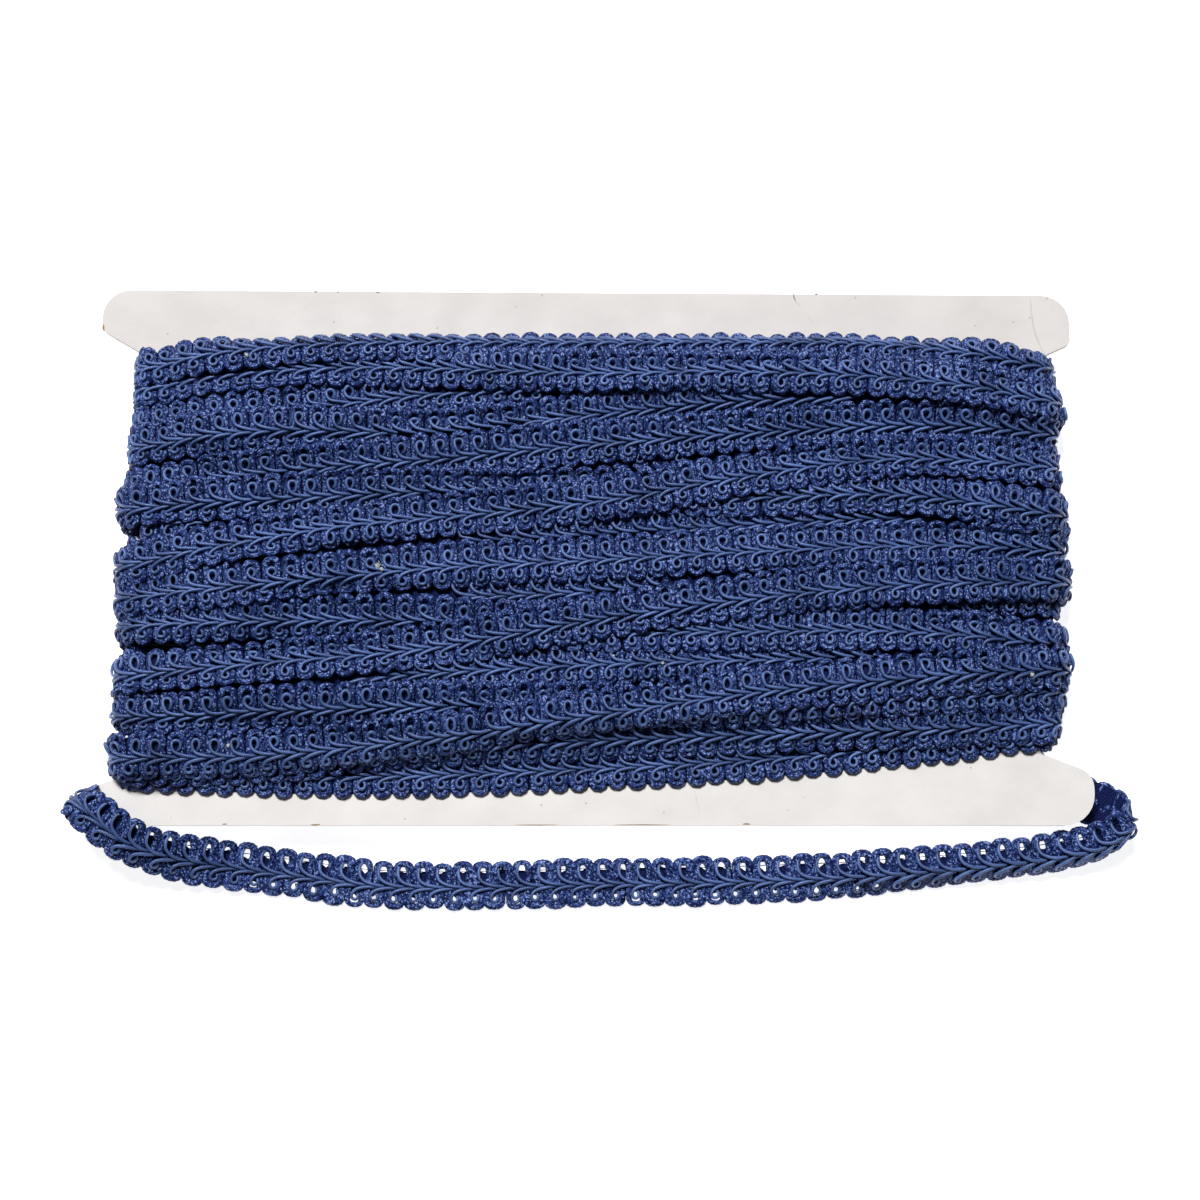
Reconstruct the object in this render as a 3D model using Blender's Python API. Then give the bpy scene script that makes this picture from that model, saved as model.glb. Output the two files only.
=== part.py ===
"""Roll of gimp trim: half-inch scalloped braid wound lengthwise on a notched card, its last turn loose.

Three pieces: the die-cut card, the wound sleeve of trim round its waist, and the loose last turn.
The roll lies on its back. The origin is on the flat underside of the sleeve, below the card's centre.
+X runs along the card, +Y across it towards the edge away from the loose turn, and +Z up.
"""

import math
from typing import NamedTuple

import bmesh
import bpy
from mathutils import Vector

MM = 0.001

# --- driving dimensions, in millimetres -------------------------------------------------------
CARD_LENGTH = 240.0
CARD_WIDTH = 131.0
CARD_THICKNESS = 2.4
NECK_HALF_LENGTH = 109.0  # half the card's length where the trim is wound
NECK_RADIUS = 1.5
ARC_STEP_DEG = 15.0

TRIM_WIDTH = 12.2
TRIM_THICKNESS = 1.7
SPINE_OFFSET = 0.6  # the braid's middle lies this far above its spine

REST_DEPTH = 6.6  # depth of wound trim under the card, pressed flat where the roll rests
GAP = 0.3  # clearance between touching pieces
CARD_BOTTOM = REST_DEPTH + GAP
CARD_TOP = CARD_BOTTOM + CARD_THICKNESS

EDGE_DEPTH = 1.7  # a single layer of trim at the sleeve's two edges
CORE_DEPTH = 4.9  # buried layers in the middle of the sleeve
TOP_RISE = 3.0  # distance over which the sleeve gains its depth, at its upper edge
BOTTOM_RISE = 9.0  # the same at its lower edge, which slopes more gently
RIDGE_HEIGHT = 1.5  # how far each pass stands above the buried layers
RIDGE_HALF_WIDTH = 5.6

RUN_COLUMNS = 14  # columns of the sleeve's mesh along each face of the card
WRAP_COLUMNS = 6  # columns round each end
SLEEVE_ROWS = 54

LOOSE_STATIONS = 150
BEND_STEPS = 24  # points worked out between two bends of the loose turn
LOOSE_EDGE_THICKNESS = 0.9
LOOSE_FULL_SHARE = 0.72  # share of the trim's width that has its full thickness


class Ear(NamedTuple):
    """One corner of the card, which stands out past the neck and holds the trim in."""

    side_x: int
    side_y: int
    skew: float
    rise: float
    corner_radius: float
    shoulder_y: float
    shoulder_radius: float
    neck_y: float


# The card is cut a little out of square. Each ear's end is skewed out from half the card's length, and its
# long edge rises out from half the card's width. A number below zero is inward.
EARS = (
    #   side_x side_y skew rise corner shoulder_y shoulder neck_y
    Ear(1, -1, 1.2, 0.0, 7.5, -53.0, 5.0, -48.5),
    Ear(1, 1, -1.1, -0.2, 7.0, 53.0, 1.5, 48.5),
    Ear(-1, 1, 1.0, 1.3, 7.0, 56.5, 2.0, 49.5),
    Ear(-1, -1, -0.8, 0.0, 7.5, -56.0, 2.5, -52.5),
)

# Places along the card at which each pass of the trim over the front is given.
STATIONS = (-112.0, -75.0, -37.5, 0.0, 37.5, 75.0, 112.0)


class Pass(NamedTuple):
    """One pass of the trim over the front: its lift above its neighbours, and its spine's height at each station."""

    lift: float
    spine: tuple


PASSES = (
    Pass(0.6, (45.0, 51.0, 53.0, 53.0, 53.0, 52.0, 46.0)),
    Pass(0.9, (41.0, 45.0, 45.0, 43.5, 43.5, 42.0, 37.0)),
    Pass(0.0, (31.0, 34.5, 39.0, 41.0, 42.0, 40.5, 37.5)),
    Pass(0.3, (26.0, 29.5, 29.0, 33.5, 37.0, 37.5, 33.5)),
    Pass(0.6, (15.0, 19.5, 22.5, 26.0, 29.0, 31.0, 29.5)),
    Pass(0.6, (10.5, 13.0, 14.5, 14.5, 13.0, 13.5, 9.0)),
    Pass(1.2, (-3.5, 3.5, 8.0, 11.5, 18.0, 22.5, 21.0)),
    Pass(0.0, (-6.5, -3.0, 1.5, 4.0, 6.5, 8.0, 6.5)),
    Pass(0.9, (-11.0, -8.0, -4.5, -2.5, -0.5, 1.0, 0.5)),
    Pass(0.0, (-14.0, -13.0, -11.5, -10.0, -7.5, -6.5, -4.5)),
    Pass(0.6, (-18.0, -17.0, -17.0, -19.5, -19.5, -19.5, -22.5)),
    Pass(1.2, (-30.0, -27.0, -23.5, -17.0, -12.0, -8.5, -7.5)),
    Pass(0.0, (-34.0, -32.0, -29.5, -27.5, -26.5, -25.5, -26.5)),
    Pass(0.6, (-39.0, -38.0, -37.5, -37.5, -38.0, -35.0, -33.5)),
    Pass(1.2, (-50.5, -49.0, -45.0, -40.0, -34.5, -31.0, -28.5)),
    Pass(0.3, (-48.0, -50.5, -47.0, -45.5, -44.0, -43.0, -41.5)),
    Pass(0.0, (-46.0, -52.5, -53.5, -52.0, -50.0, -46.5, -41.5)),
)

# The sleeve's own edges at the same stations.
SLEEVE_TOP = (48.5, 53.5, 54.5, 55.0, 55.5, 54.0, 48.0)
SLEEVE_BOTTOM = (-51.5, -58.5, -58.5, -56.5, -54.0, -51.0, -47.5)


class Bend(NamedTuple):
    """One point of the loose turn: where its middle passes, and the way its upper edge lies from there."""

    x: float
    y: float
    z: float
    across_x: float
    across_y: float
    across_z: float


# From its hidden start under the left end, round the ear, along below the card, and back under the right end.
LOOSE_TURN = (
    Bend(-80.0, -60.5, 2.2, 0.1, 1.0, 0.0),
    Bend(-92.0, -61.6, 2.2, 0.0, 1.0, 0.0),
    Bend(-103.0, -62.4, 2.3, 0.15, 1.0, 0.0),
    Bend(-112.5, -62.2, 2.5, 0.45, 0.9, 0.0),
    Bend(-120.0, -60.8, 3.3, 0.75, 0.66, 0.0),
    Bend(-125.0, -59.0, 6.7, 0.82, 0.57, 0.0),
    Bend(-124.8, -58.9, 10.8, 0.84, 0.54, 0.0),
    Bend(-121.9, -60.4, 13.2, 0.86, 0.5, 0.0),
    Bend(-118.0, -63.9, 13.3, 0.73, 0.68, 0.05),
    Bend(-111.5, -69.1, 12.4, 0.5, 0.86, 0.15),
    Bend(-103.0, -72.5, 8.4, 0.33, 0.93, 0.2),
    Bend(-94.0, -74.4, 4.2, 0.22, 0.97, 0.1),
    Bend(-82.0, -76.0, 1.7, 0.15, 0.98, 0.0),
    Bend(-68.0, -77.9, 0.9, 0.13, 0.99, 0.0),
    Bend(-50.8, -79.9, 0.9, 0.06, 1.0, 0.0),
    Bend(-26.6, -80.2, 0.9, -0.01, 1.0, 0.0),
    Bend(2.4, -79.4, 0.9, -0.02, 1.0, 0.0),
    Bend(26.6, -79.2, 0.9, -0.01, 1.0, 0.0),
    Bend(50.7, -78.5, 1.6, -0.04, 1.0, 0.0),
    Bend(66.0, -77.8, 3.1, -0.06, 1.0, 0.0),
    Bend(82.0, -76.6, 4.6, -0.08, 1.0, 0.0),
    Bend(98.5, -75.2, 5.4, -0.12, 0.99, 0.0),
    Bend(110.0, -73.8, 5.9, -0.15, 0.99, 0.0),
    Bend(118.5, -72.4, 6.9, -0.22, 0.97, 0.0),
    Bend(125.0, -70.0, 8.3, -0.3, 0.95, 0.0),
    Bend(129.8, -66.9, 8.2, -0.2, 0.98, 0.0),
    Bend(131.2, -65.0, 5.9, 0.0, 1.0, 0.0),
    Bend(128.6, -62.9, 3.5, 0.2, 0.98, 0.0),
    Bend(121.0, -59.8, 2.5, 0.2, 0.98, 0.0),
    Bend(106.0, -57.6, 2.3, 0.0, 1.0, 0.0),
    Bend(92.0, -57.2, 2.3, 0.0, 1.0, 0.0),
    Bend(78.0, -57.0, 2.3, 0.0, 1.0, 0.0),
)


def clear_scene():
    """Removes whatever the scene starts with."""
    for obj in list(bpy.data.objects):
        bpy.data.objects.remove(obj, do_unlink=True)


def add_piece(name, mesh, material, smooth_angle_deg):
    """Puts a mesh in the scene under its own name, scaled from millimetres to metres."""
    for vertex in mesh.vertices:
        vertex.co *= MM
    piece = bpy.data.objects.new(name, mesh)
    bpy.context.scene.collection.objects.link(piece)
    mesh.materials.append(material)
    mesh.shade_smooth()
    mesh.set_sharp_from_angle(angle=math.radians(smooth_angle_deg))
    return piece


def make_material(name, colour, roughness):
    """Returns a plain non-metal with this colour and roughness."""
    material = bpy.data.materials.new(name)
    material.use_nodes = True
    shader = material.node_tree.nodes["Principled BSDF"]
    shader.inputs["Base Color"].default_value = (*colour, 1.0)
    shader.inputs["Roughness"].default_value = roughness
    shader.inputs["Metallic"].default_value = 0.0
    return material


def mesh_from_bmesh(name, bm):
    """Closes off a bmesh with its faces pointing out, and returns it as a mesh."""
    bmesh.ops.recalc_face_normals(bm, faces=bm.faces)
    mesh = bpy.data.meshes.new(name)
    bm.to_mesh(mesh)
    bm.free()
    return mesh


# --- the card ----------------------------------------------------------------------------------


def card_corners():
    """Returns the card's corners anticlockwise, each as (x, y, radius)."""
    half_width = CARD_WIDTH / 2
    corners = []
    for ear in EARS:
        tip = ear.side_x * (CARD_LENGTH / 2 + ear.skew)
        ring = [
            (tip, ear.side_y * (half_width + ear.rise), ear.corner_radius),
            (tip, ear.shoulder_y, ear.shoulder_radius),
            (ear.side_x * NECK_HALF_LENGTH, ear.neck_y, NECK_RADIUS),
        ]
        if ear.side_x * ear.side_y > 0:
            ring.reverse()
        corners.extend(ring)
    return corners


def rounded_outline(corners):
    """Returns the outline through these corners, each rounded to its radius."""
    points = []
    count = len(corners)
    for index, (x, y, radius) in enumerate(corners):
        corner = Vector((x, y))
        back = (Vector(corners[index - 1][:2]) - corner).normalized()
        ahead = (Vector(corners[(index + 1) % count][:2]) - corner).normalized()
        half_angle = back.angle(ahead) / 2
        reach = radius / math.tan(half_angle)
        centre = corner + (back + ahead).normalized() * (radius / math.sin(half_angle))
        start = corner + back * reach - centre
        turn = start.angle_signed(corner + ahead * reach - centre)
        steps = max(2, math.ceil(abs(math.degrees(turn)) / ARC_STEP_DEG))
        for step in range(steps + 1):
            angle = -turn * step / steps
            swung = Vector(
                (
                    start.x * math.cos(angle) - start.y * math.sin(angle),
                    start.x * math.sin(angle) + start.y * math.cos(angle),
                )
            )
            points.append(centre + swung)
    return points


def build_card(material):
    """Cuts the notched card from its outline, at its full thickness."""
    bm = bmesh.new()
    outline = rounded_outline(card_corners())
    ring = [bm.verts.new((point.x, point.y, CARD_BOTTOM)) for point in outline]
    face = bm.faces.new(ring)
    raised = bmesh.ops.extrude_face_region(bm, geom=[face])
    lifted = [item for item in raised["geom"] if isinstance(item, bmesh.types.BMVert)]
    bmesh.ops.translate(bm, verts=lifted, vec=(0.0, 0.0, CARD_THICKNESS))
    bmesh.ops.triangulate(bm, faces=[f for f in bm.faces if len(f.verts) > 4])
    return add_piece("card", mesh_from_bmesh("card", bm), material, 30.0)


# --- the wound trim ----------------------------------------------------------------------------


class Column(NamedTuple):
    """One column of the sleeve: its inner edge in section, the way out from it, and its place on the way round."""

    inner_x: float
    inner_z: float
    out_x: float
    out_z: float
    along: float  # place along the card, from left to right
    behind: float  # 0 on the front, 1 on the back


def sleeve_columns():
    """Returns the sleeve's columns in the order the trim is wound: front, right end, back, left end."""
    reach = NECK_HALF_LENGTH + GAP
    middle = (CARD_TOP + CARD_BOTTOM) / 2
    half_slot = CARD_THICKNESS / 2 + GAP
    columns = []
    for side in (1, -1):
        behind = 0.0 if side > 0 else 1.0
        for step in range(RUN_COLUMNS + 1):
            along = side * reach * (2 * step / RUN_COLUMNS - 1)
            columns.append(Column(along, middle + side * half_slot, 0.0, side, along, behind))
        for step in range(1, WRAP_COLUMNS):
            share = step / WRAP_COLUMNS
            angle = math.pi / 2 - math.pi * share
            columns.append(
                Column(
                    side * reach,
                    middle + side * half_slot * (1 - 2 * share),
                    side * math.cos(angle),
                    side * math.sin(angle),
                    side * reach,
                    share if side > 0 else 1.0 - share,
                )
            )
    return columns


def at_station(values, along):
    """Reads a row of values given at the stations at any place along the card, on a smooth curve."""
    last = len(STATIONS) - 1
    low, high = STATIONS[0], STATIONS[last]
    place = min(max(along, low), high)
    right = next(i for i in range(1, last + 1) if place <= STATIONS[i])
    left = right - 1
    share = (place - STATIONS[left]) / (STATIONS[right] - STATIONS[left])
    before = values[max(left - 1, 0)]
    after = values[min(right + 1, last)]
    start_slope = (values[right] - before) / 2
    end_slope = (after - values[left]) / 2
    return (
        values[left] * (2 * share**3 - 3 * share**2 + 1)
        + start_slope * (share**3 - 2 * share**2 + share)
        + values[right] * (3 * share**2 - 2 * share**3)
        + end_slope * (share**3 - share**2)
    )


def spine_at(index, column):
    """Returns a pass's spine height and lift at a column: behind the card it slopes on to the next pass."""
    here = PASSES[index]
    following = PASSES[min(index + 1, len(PASSES) - 1)]
    front = at_station(here.spine, column.along)
    if column.behind == 0.0:
        return front, here.lift
    share = (1 - column.along / NECK_HALF_LENGTH) / 2 if column.behind == 1.0 else 0.0
    if column.along < 0 and column.behind < 1.0:
        return following.spine[0], following.lift
    share = min(max(share, 0.0), 1.0)
    spine = here.spine[-1] * (1 - share) + following.spine[0] * share
    lift = here.lift * (1 - share) + following.lift * share
    return spine, lift


def sleeve_depth(column, height, low, high):
    """Returns how deep the wound trim is over one spot of the card."""
    from_top = max(high - height, 0.0)
    from_bottom = max(height - low, 0.0)
    crown = (1 - math.exp(-from_top / TOP_RISE)) * (1 - math.exp(-from_bottom / BOTTOM_RISE))
    ridge = 0.0
    for index in range(len(PASSES)):
        spine, lift = spine_at(index, column)
        offset = (height - spine - SPINE_OFFSET) / RIDGE_HALF_WIDTH
        ridge = max(ridge, (lift + RIDGE_HEIGHT) * math.exp(-(offset**4)))
    depth = EDGE_DEPTH + crown * (CORE_DEPTH - EDGE_DEPTH + ridge)
    if column.behind == 0.0:
        return depth
    return min(depth, REST_DEPTH)


def build_winding(material):
    """Models the wound trim as one closed sleeve round the card's neck, with its passes as ridges."""
    bm = bmesh.new()
    outer = []
    inner = []
    for column in sleeve_columns():
        low = at_station(SLEEVE_BOTTOM, column.along)
        high = at_station(SLEEVE_TOP, column.along)
        strip = []
        for row in range(SLEEVE_ROWS + 1):
            height = low + (high - low) * row / SLEEVE_ROWS
            depth = sleeve_depth(column, height, low, high)
            x = column.inner_x + column.out_x * depth
            z = column.inner_z + column.out_z * depth
            strip.append(bm.verts.new((x, height, z)))
        outer.append(strip)
        inner.append([bm.verts.new((column.inner_x, height, column.inner_z)) for height in (low, high)])
    for index, strip in enumerate(outer):
        before = outer[index - 1]
        for row in range(SLEEVE_ROWS):
            bm.faces.new((before[row], strip[row], strip[row + 1], before[row + 1]))
        slot_before, slot = inner[index - 1], inner[index]
        bm.faces.new((slot_before[1], slot[1], slot[0], slot_before[0]))
        bm.faces.new((slot_before[0], slot[0], strip[0], before[0]))
        bm.faces.new((before[-1], strip[-1], slot[1], slot_before[1]))
    return add_piece("winding", mesh_from_bmesh("winding", bm), material, 50.0)


# --- the loose last turn ------------------------------------------------------------------------


def smooth_route(bends, stations):
    """Returns evenly spaced points on a smooth curve through the bends, each with its upper edge's direction."""
    samples = []
    last = len(bends) - 1
    for left in range(last):
        rows = (bends[max(left - 1, 0)], bends[left], bends[left + 1], bends[min(left + 2, last)])
        for step in range(BEND_STEPS):
            samples.append(curve_point(rows, step / BEND_STEPS))
    samples.append(tuple(bends[last]))
    lengths = [0.0]
    for before, after in zip(samples, samples[1:]):
        lengths.append(lengths[-1] + math.dist(before[:3], after[:3]))
    route = []
    for index in range(stations + 1):
        target = lengths[-1] * index / stations
        right = next((i for i in range(1, len(lengths)) if lengths[i] >= target), len(lengths) - 1)
        share = (target - lengths[right - 1]) / (lengths[right] - lengths[right - 1])
        route.append([a + (b - a) * share for a, b in zip(samples[right - 1], samples[right])])
    return route


def curve_point(rows, share):
    """Returns a point on the Catmull-Rom curve between the two middle rows."""
    first, second, third, fourth = rows
    return tuple(
        0.5
        * (
            2 * b
            + (c - a) * share
            + (2 * a - 5 * b + 4 * c - d) * share**2
            + (3 * b - a - 3 * c + d) * share**3
        )
        for a, b, c, d in zip(first, second, third, fourth)
    )


def trim_section():
    """Returns the trim's section as (across, above) pairs: full depth in the middle, thinner at its edges."""
    half = TRIM_WIDTH / 2
    shoulder = half * LOOSE_FULL_SHARE
    full = TRIM_THICKNESS / 2
    edge = LOOSE_EDGE_THICKNESS / 2
    return (
        (half, -full + 2 * edge),
        (shoulder, full),
        (-shoulder, full),
        (-half, -full + 2 * edge),
        (-half, -full),
        (half, -full),
    )


def build_loose_turn(material):
    """Sweeps the trim's section along the loose turn, flat side to the surface where it lies."""
    route = smooth_route(LOOSE_TURN, LOOSE_STATIONS)
    section = trim_section()
    bm = bmesh.new()
    rings = []
    for index, row in enumerate(route):
        before = Vector(route[max(index - 1, 0)][:3])
        after = Vector(route[min(index + 1, len(route) - 1)][:3])
        forward = (after - before).normalized()
        across = Vector(row[3:])
        across = (across - forward * across.dot(forward)).normalized()
        above = forward.cross(across)
        middle = Vector(row[:3])
        ring = []
        for width, depth in section:
            spot = middle + across * width + above * depth
            spot.z = max(spot.z, 0.0)
            ring.append(bm.verts.new(spot))
        rings.append(ring)
    count = len(section)
    for before, after in zip(rings, rings[1:]):
        for side in range(count):
            along = (side + 1) % count
            bm.faces.new((before[side], before[along], after[along], after[side]))
    bm.faces.new(rings[0])
    bm.faces.new(rings[-1])
    return add_piece("loose_turn", mesh_from_bmesh("loose_turn", bm), material, 40.0)


def main():
    """Builds the card, the wound trim and the loose turn."""
    clear_scene()
    board = make_material("white_lined_board", (0.79, 0.77, 0.74), 0.75)
    braid = make_material("navy_gimp_braid", (0.022, 0.045, 0.125), 0.6)
    build_card(board)
    build_winding(braid)
    build_loose_turn(braid)


main()
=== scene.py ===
"""The look of a roll of gimp trim: navy scalloped braid on a notched white card, its last turn hanging loose.

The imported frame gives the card, the room that the winding takes and the loose turn's place. On it the braid
is worked as the real one is: a crimped cord bent into scallops, a smooth cord curled over each scallop with
its tail laid to the spine, edge threads, and a thin woven web. Turns are laid one over another, layer by
layer. Lengths are in millimetres until a mesh is made.
"""

import logging
import math
from collections.abc import Callable
from dataclasses import dataclass, field
from enum import Enum
from typing import NamedTuple

import bpy
import numpy as np
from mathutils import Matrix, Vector


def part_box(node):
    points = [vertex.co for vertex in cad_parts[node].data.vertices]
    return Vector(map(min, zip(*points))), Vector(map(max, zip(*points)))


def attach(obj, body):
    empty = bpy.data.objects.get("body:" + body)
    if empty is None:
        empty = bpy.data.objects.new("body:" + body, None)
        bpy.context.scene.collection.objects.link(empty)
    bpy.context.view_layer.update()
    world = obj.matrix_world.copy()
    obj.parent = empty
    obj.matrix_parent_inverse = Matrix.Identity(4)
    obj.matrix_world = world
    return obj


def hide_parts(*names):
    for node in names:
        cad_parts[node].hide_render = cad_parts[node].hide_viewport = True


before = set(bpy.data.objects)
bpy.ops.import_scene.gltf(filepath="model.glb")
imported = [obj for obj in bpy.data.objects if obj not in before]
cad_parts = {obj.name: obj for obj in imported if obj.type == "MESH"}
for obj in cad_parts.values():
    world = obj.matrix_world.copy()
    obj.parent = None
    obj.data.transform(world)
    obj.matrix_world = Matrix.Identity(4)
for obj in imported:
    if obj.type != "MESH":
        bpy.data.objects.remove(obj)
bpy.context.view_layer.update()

MM = 0.001
SEED = 20
SEED_LIMIT = 1 << 30
log = logging.getLogger("gimp_roll")


# --- small helpers ------------------------------------------------------------------------------


def linear(hex_colour: str) -> tuple[float, float, float, float]:
    """Turns an sRGB colour to linear light.

    Args:
        hex_colour: six hex digits, such as "22335A".

    Returns:
        The colour as linear red, green, blue and a full alpha.
    """
    channels = [int(hex_colour[i : i + 2], 16) / 255 for i in (0, 2, 4)]
    lit = [c / 12.92 if c <= 0.04045 else ((c + 0.055) / 1.055) ** 2.4 for c in channels]
    return (*lit, 1.0)


def add_node(
    tree: bpy.types.NodeTree,
    kind: str,
    links: dict[str | int, object] | None = None,
    stops: tuple[tuple[float, str], ...] = (),
    **settings: object,
) -> bpy.types.Node:
    """Adds one node to a material, with its settings and what goes into it.

    Args:
        tree: the material's node tree.
        kind: the node's type.
        links: for each input, by name or place, a value or the socket to join to it.
        stops: for a colour ramp, each stop's place from 0 to 1 and its sRGB hex colour.
        settings: the node's own properties.

    Returns:
        The new node.
    """
    node = tree.nodes.new(kind)
    for name, value in settings.items():
        setattr(node, name, value)
    for name, value in (links or {}).items():
        if isinstance(value, bpy.types.NodeSocket):
            tree.links.new(value, node.inputs[name])
        else:
            node.inputs[name].default_value = value
    for number, (place, colour) in enumerate(stops):
        elements = node.color_ramp.elements
        element = elements[number] if number < len(elements) else elements.new(1.0)
        element.position = place
        element.color = linear(colour)
    return node


def settle(values: np.ndarray, spread: float) -> np.ndarray:
    """Smooths a row of values, or each column of a table, along its first axis.

    Args:
        values: the row or table.
        spread: how far each value is spread, in places along the row.

    Returns:
        The smoothed values, in the same shape.
    """
    reach = max(1, math.ceil(3 * spread))
    weights = np.exp(-0.5 * (np.arange(-reach, reach + 1) / spread) ** 2)
    weights /= weights.sum()
    padded = np.concatenate([values[:1].repeat(reach, 0), values, values[-1:].repeat(reach, 0)])
    windows = np.lib.stride_tricks.sliding_window_view(padded, 2 * reach + 1, axis=0)
    return windows @ weights


def crest(values: np.ndarray, reach: int) -> np.ndarray:
    """Returns, for each place in a row, the highest value within reach of it."""
    padded = np.pad(values, reach, mode="edge")
    return np.lib.stride_tricks.sliding_window_view(padded, 2 * reach + 1).max(axis=1)


def unit(vectors: np.ndarray) -> np.ndarray:
    """Returns the vectors at length 1."""
    return vectors / np.maximum(np.linalg.norm(vectors, axis=-1, keepdims=True), 1e-9)


def between(
    table: np.ndarray, rows: tuple[np.ndarray, np.ndarray], column: np.ndarray, a: np.ndarray, b: np.ndarray
) -> np.ndarray:
    """Reads a table between two rows and two neighbouring columns.

    Args:
        table: the values.
        rows: the nearer and the further row of each reading.
        column: the nearer column of each reading.
        a: how far each reading is towards the further row, from 0 to 1.
        b: how far it is towards the next column.

    Returns:
        The values there.
    """
    near, far = (table[row, column] * (1 - b) + table[row, column + 1] * b for row in rows)
    return near * (1 - a) + far * a


def evenly(points: np.ndarray, count: int) -> np.ndarray:
    """Spaces points evenly along a line.

    Args:
        points: the line's points, in order; its length is measured in their first three columns.
        count: how many points to return.

    Returns:
        The evenly spaced points.
    """
    lengths = np.concatenate([[0.0], np.cumsum(np.linalg.norm(np.diff(points[:, :3], axis=0), axis=1))])
    places = np.linspace(0.0, lengths[-1], count)
    return np.stack([np.interp(places, lengths, points[:, i]) for i in range(points.shape[1])], axis=1)


def smooth_curve(rows: np.ndarray, steps: int) -> np.ndarray:
    """Draws a Catmull-Rom curve through the rows.

    Args:
        rows: the points, or points with more columns, that the curve passes through.
        steps: points drawn from each row to the next.

    Returns:
        The curve's points, with the same columns.
    """
    padded = np.concatenate([rows[:1], rows, rows[-1:]])
    share = (np.arange(steps) / steps)[:, None]
    runs = []
    for a, b, c, d in zip(padded, padded[1:], padded[2:], padded[3:]):
        bend = 2 * a - 5 * b + 4 * c - d
        runs.append(b + 0.5 * share * (c - a + share * (bend + share * (3 * b - a - 3 * c + d))))
    return np.concatenate([*runs, rows[-1:]])


# --- finishes -----------------------------------------------------------------------------------


@dataclass(frozen=True, kw_only=True)
class Finish:
    """What every finish has: its material's name, and how its surface sends light back."""

    name: str
    roughness: float
    ior: float = 1.5
    specular: float = 0.5
    gloss: str = "FFFFFF"  # the colour of its gloss

    def start(self) -> tuple[bpy.types.Material, bpy.types.NodeTree, bpy.types.Node]:
        """Starts the material, with its roughness and gloss.

        Returns:
            The material, its node tree and its shader.
        """
        material = bpy.data.materials.new(self.name)
        material.use_nodes = True
        shader = material.node_tree.nodes["Principled BSDF"]
        shader.inputs["Roughness"].default_value = self.roughness
        shader.inputs["IOR"].default_value = self.ior
        shader.inputs["Specular IOR Level"].default_value = self.specular
        shader.inputs["Specular Tint"].default_value = linear(self.gloss)
        return material, material.node_tree, shader


@dataclass(frozen=True, kw_only=True)
class SmoothCord(Finish):
    """Viscose gimp cord: bright filament yarn spun tightly round a cotton core, then plied in twos.

    The tight filament cover gives a soft silky gloss, and the ply gives slanting lines along the cord, as
    bumps and as painted shade in its grooves.
    """

    name: str = "viscose_gimp_cord"
    shade: str = "121E48"
    lit: str = "6582C0"
    gloss: str = "E0E6FF"  # light that has passed through dyed filament comes back blue
    roughness: float = 0.26
    ior: float = 1.56  # viscose, along the fibre
    ply_mm: float = 0.9  # one turn of the ply; the spun filaments are too fine to show
    ply_depth_mm: float = 0.08
    fade_mm: float = 9.0

    def dress(self) -> bpy.types.Material:
        """Makes the material.

        Returns:
            The finished material.
        """
        material, tree, shader = self.start()
        place = add_node(tree, "ShaderNodeTexCoord").outputs["Object"]
        lay = add_node(tree, "ShaderNodeUVMap", uv_map="lay").outputs["UV"]
        split = add_node(tree, "ShaderNodeSeparateXYZ", {0: lay}).outputs
        inputs = {0: split["Y"], 1: 1 / self.ply_mm, 2: split["X"]}
        turns = add_node(tree, "ShaderNodeMath", inputs, operation="MULTIPLY_ADD").outputs[0]
        angle = add_node(tree, "ShaderNodeMath", {0: turns, 1: 4 * math.pi}, operation="MULTIPLY").outputs[0]
        ply = add_node(tree, "ShaderNodeMath", {0: angle}, operation="SINE").outputs[0]
        inputs = {"Value": ply, "From Min": -1.0, "From Max": 0.6}
        ply = add_node(tree, "ShaderNodeMapRange", inputs).outputs["Result"]
        inputs = {"Vector": place, "Scale": 1 / (self.fade_mm * MM), "Detail": 3.0}
        drift = add_node(tree, "ShaderNodeTexNoise", inputs).outputs["Fac"]
        inputs = {0: ply, 1: 0.25, 2: drift}
        mixed = add_node(tree, "ShaderNodeMath", inputs, operation="MULTIPLY_ADD").outputs[0]
        # The ply's grooves are painted darker, painted shade between the plies, over the cord's own uneven
        # tone from the drift.
        stops = ((0.25, self.shade), (0.95, self.lit))
        ramp = add_node(tree, "ShaderNodeValToRGB", {"Fac": mixed}, stops)
        tree.links.new(ramp.outputs["Color"], shader.inputs["Base Color"])
        inputs = {"Height": ply, "Strength": 0.4, "Distance": self.ply_depth_mm * MM}
        bump = add_node(tree, "ShaderNodeBump", inputs)
        tree.links.new(bump.outputs["Normal"], shader.inputs["Normal"])
        return material


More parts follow.
